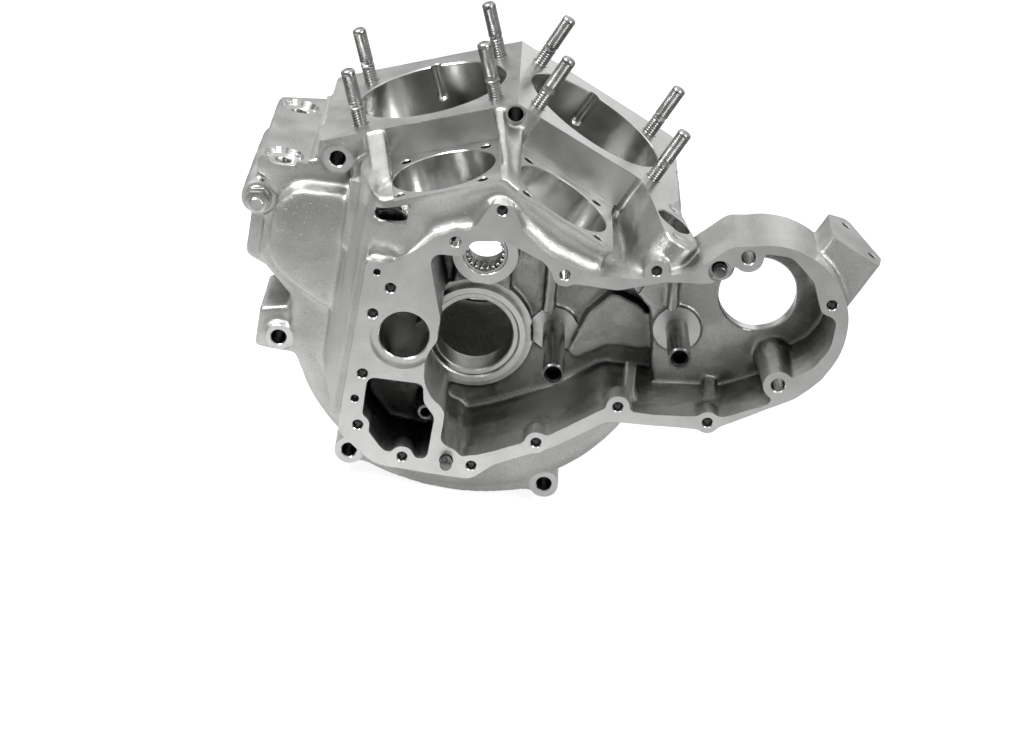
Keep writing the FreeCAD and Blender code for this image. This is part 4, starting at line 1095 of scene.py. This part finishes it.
ring_piece("pinion_race_ring", at(0, -82, 0), INWARD, [
    (26.4, 0), (29.0, 0), (29.6, 0.6), (29.6, 21.4), (29.0, 22), (26.4, 22), (25.6, 21.2),
    (25.6, 0.8)],
    BEARING, "pinion_bearing_race")
ring_piece("cam_bearing_cup", at(-3, -87, 60), INWARD, [
    (12.6, 0), (13.9, 0), (14.3, 0.4), (14.3, 16), (12.6, 16), (12.6, 15.2), (13.3, 15),
    (13.3, 1.2), (12.6, 1.0)],
    BEARING, "cam_bearing_shell")
rollers = bmesh.new()
for i in range(20):
    angle = 2 * math.pi * i / 20
    turned(rollers, at(-3 + 12.08 * math.cos(angle), -85, 60 + 12.08 * math.sin(angle)), INWARD, [
        (0, 0), (0.95, 0), (1.2, 0.25), (1.2, 11.75), (0.95, 12), (0, 12)], 16, 0, 0)
made_piece("cam_needle_rollers", rollers, (BEARING,), "cam_bearing_needles")
for word, foot, axis in (("outer", 82.5, OUTWARD), ("inner", 55.3, INWARD)):
    ring_piece("hub_race_" + word, at(0, foot, 0), axis, [
        (34.5, 0), (35.9, 0), (36.5, 0.6), (36.5, 12), (35.9, 12.6), (31.9, 12.6), (31.5, 12.2)],
        BEARING, "left_bearing_race_" + word)
ring_piece("hub_spacer_ring", at(0, 67.9, 0), INWARD, [
    (31.5, 0.05), (36.5, 0.05), (36.5, 1.95), (31.5, 1.95)],
    BEARING, "race_spacer")
for word, x, y, z in (("lower", -4.5, -152.99, -63.2), ("upper", 140.1, -147, 99.6)):
    ring_piece("cover_pin_" + word, at(x, y, z), INWARD, [
        (0, 0), (2.9, 0), (3.7, 0.5), (4.0, 1.6), (4.0, 7.9), (3.7, 8.2), (3.7, 22), (0, 22)],
        SHAFT, "cover_dowel_" + word, 48)
for name, x, z in (("front", 101.0, 62.0), ("rear", -99.0, -64.0)):
    ring_piece("case_pin_" + name, at(x, -10.5, z), INWARD, [
        (0, 0), (3.4, 0), (4.0, 0.6), (4.0, 20.4), (3.4, 21), (0, 21)],
        SHAFT, "case_dowel_" + name, 48)
print("lathe work done")

# %% [markdown]
# ## Clamp bolt
# Its nut and head are six-sided, with the corners turned away to a chamfer. A
# six-step spin gives the prism, and each face end is bevelled to the round chamfer.

# %% Clamp bolt, nut and washer


def hexagon(bm, y_near, y_far):
    """Six-sided nut or head along Y with chamfered corners."""
    part = bmesh.new()
    height = (y_far - y_near) * MM
    radius = 14.3 / math.sqrt(3) * MM
    bmesh.ops.create_cone(
        part, cap_ends=True, segments=6, radius1=radius, radius2=radius, depth=height)
    corners = [e for e in part.edges if abs(e.verts[0].co.z - e.verts[1].co.z) < 1e-9]
    bmesh.ops.bevel(
        part, geom=corners, offset=0.7 * MM, segments=2, profile=0.5, affect="EDGES",
        material=-1, clamp_overlap=True)
    middle = at(CLAMP[0], (y_near + y_far) / 2, CLAMP[1])
    place = Matrix.Translation(middle) @ Matrix.Rotation(math.radians(90), 4, "X")
    add_to(bm, part, place @ Matrix.Rotation(math.radians(40), 4, "Z"))


nut = bmesh.new()
hexagon(nut, -64.2, -57.8)
made_piece("clamp_nut", nut, (ZINC,), "clamp_bolt_nut")
bolt = bmesh.new()
hexagon(bolt, 58.0, 64.4)
threads = [(0, 0), (4.1, 0), (4.8, 0.8)]
for i in range(1, 9):
    threads += [(4.2, 0.8 + 0.5 * i - 0.25), (4.8, 0.8 + 0.5 * i)]
turned(bolt, at(CLAMP[0], -69.2, CLAMP[1]), INWARD, threads + [(4.8, 127.2), (0, 127.2)], 40, 0, 0)
made_piece("clamp_bolt_turned", bolt, (ZINC,), "clamp_bolt")
ring_piece("clamp_washer", at(CLAMP[0], -57.8, CLAMP[1]), INWARD, [
    (5.2, 0), (8.6, 0), (9.0, 0.4), (9.0, 1.6), (8.8, 1.8), (5.2, 1.8)],
    ZINC, "clamp_bolt_washer", 56)
print("clamp bolt fitted")

# %% [markdown]
# ## Floor and light
# A pale floor carries the shadow. For camera rays it also glows, which turns it paper
# white without any more light on the metal. Mirror rays find it darker away from the
# engine, so upright faces look grey and don't vanish against the white.

# %% Floor
ground = bmesh.new()
bmesh.ops.create_grid(ground, x_segments=1, y_segments=1, size=4.0)
bmesh.ops.translate(ground, vec=Vector((0, 0, cad_box[0][2] - 0.001)), verts=ground.verts)
floor_mesh = bpy.data.meshes.new("floor")
ground.to_mesh(floor_mesh)
ground.free()
floor = bpy.data.objects.new("floor", floor_mesh)
bpy.context.scene.collection.objects.link(floor)


def paper_floor():
    paper = Finish("paper_floor")
    away = paper.node("VectorMath", {"operation": "LENGTH"}, {0: paper.place}, out="Value")
    near = paper.ramp(away, 0.12, 0.7, 1.0, 0.0)
    tone = paper.blend(near, (0.24, 0.24, 0.24, 1), (0.56, 0.56, 0.56, 1))
    paper.feed(paper.shader, {"Base Color": tone, "Roughness": 0.9})
    seen = paper.node("LightPath", out="Is Camera Ray")
    mirrored = paper.node("LightPath", out="Is Glossy Ray")
    strength = seen * (1.0 - near * 0.18) + mirrored * (near * 0.2 + 0.02)
    glow = paper.node("Emission", {}, {"Color": (1, 1, 1, 1), "Strength": strength})
    both = paper.node("AddShader", {}, {0: Value(paper, paper.shader.outputs[0]), 1: glow})
    paper.feed(paper.tree.nodes["Material Output"], {"Surface": both})
    return paper.material


floor_mesh.materials.append(paper_floor())
print("floor at", round(cad_box[0][2], 4))

# %% [markdown]
# The sky is dark in front, brighter behind and bright above. Light and dark boards
# around the horizon draw the long streaks in the bores. Two soft lamps give the
# highlights.

# %% Sky and lamps
world = bpy.data.worlds.new("studio")
bpy.context.scene.world = world
world.use_nodes = True


class Sky(Finish):
    """The same helpers on the world's nodes."""

    def __init__(self, world):
        self.tree = world.node_tree
        self.shader = self.tree.nodes["Background"]
        self.place = self.node("TexCoord", out="Generated")


sky = Sky(world)
parts = sky.tree.nodes.new("ShaderNodeSeparateXYZ")
sky.feed(parts, {0: sky.place})
height = Value(sky, parts.outputs[2])
nearness = Value(sky, parts.outputs[1])
east = Value(sky, parts.outputs[0])
behind = sky.ramp(nearness, 0.1, 0.75) * sky.ramp(height, -0.15, 0.1)
light = 0.22 + behind * 0.38 + sky.ramp(height, 0.35, 0.95) * 0.5
compass = sky.node("Math", {"operation": "ARCTAN2"}, {0: east, 1: nearness})
boards = sky.node("Math", {"operation": "SINE"}, {0: compass * 9.0})
light = light * sky.ramp(boards, -0.5, 0.5, 0.55, 1.5)
camera_ray = sky.node("LightPath", out="Is Camera Ray")
level_of_light = light * (1 - camera_ray) + camera_ray
sky.feed(sky.shader, {"Color": (1, 1, 1, 1), "Strength": level_of_light})


def lamp(name, place, aim, size, watts):
    glow = bpy.data.lights.new(name, "AREA")
    glow.shape = "RECTANGLE"
    glow.size, glow.size_y = size
    glow.energy = watts
    holder = bpy.data.objects.new(name, glow)
    holder.location = place
    holder.rotation_euler = (Vector(aim) - Vector(place)).to_track_quat("-Z", "Y").to_euler()
    bpy.context.scene.collection.objects.link(holder)


lamp("key_lamp", (-0.9, -0.35, 1.25), (0, 0, 0.05), (0.7, 0.7), 21)
lamp("front_lamp", (0.9, -1.0, 0.9), (0.05, 0, 0.05), (0.5, 0.9), 9)
print("sky and two lamps")
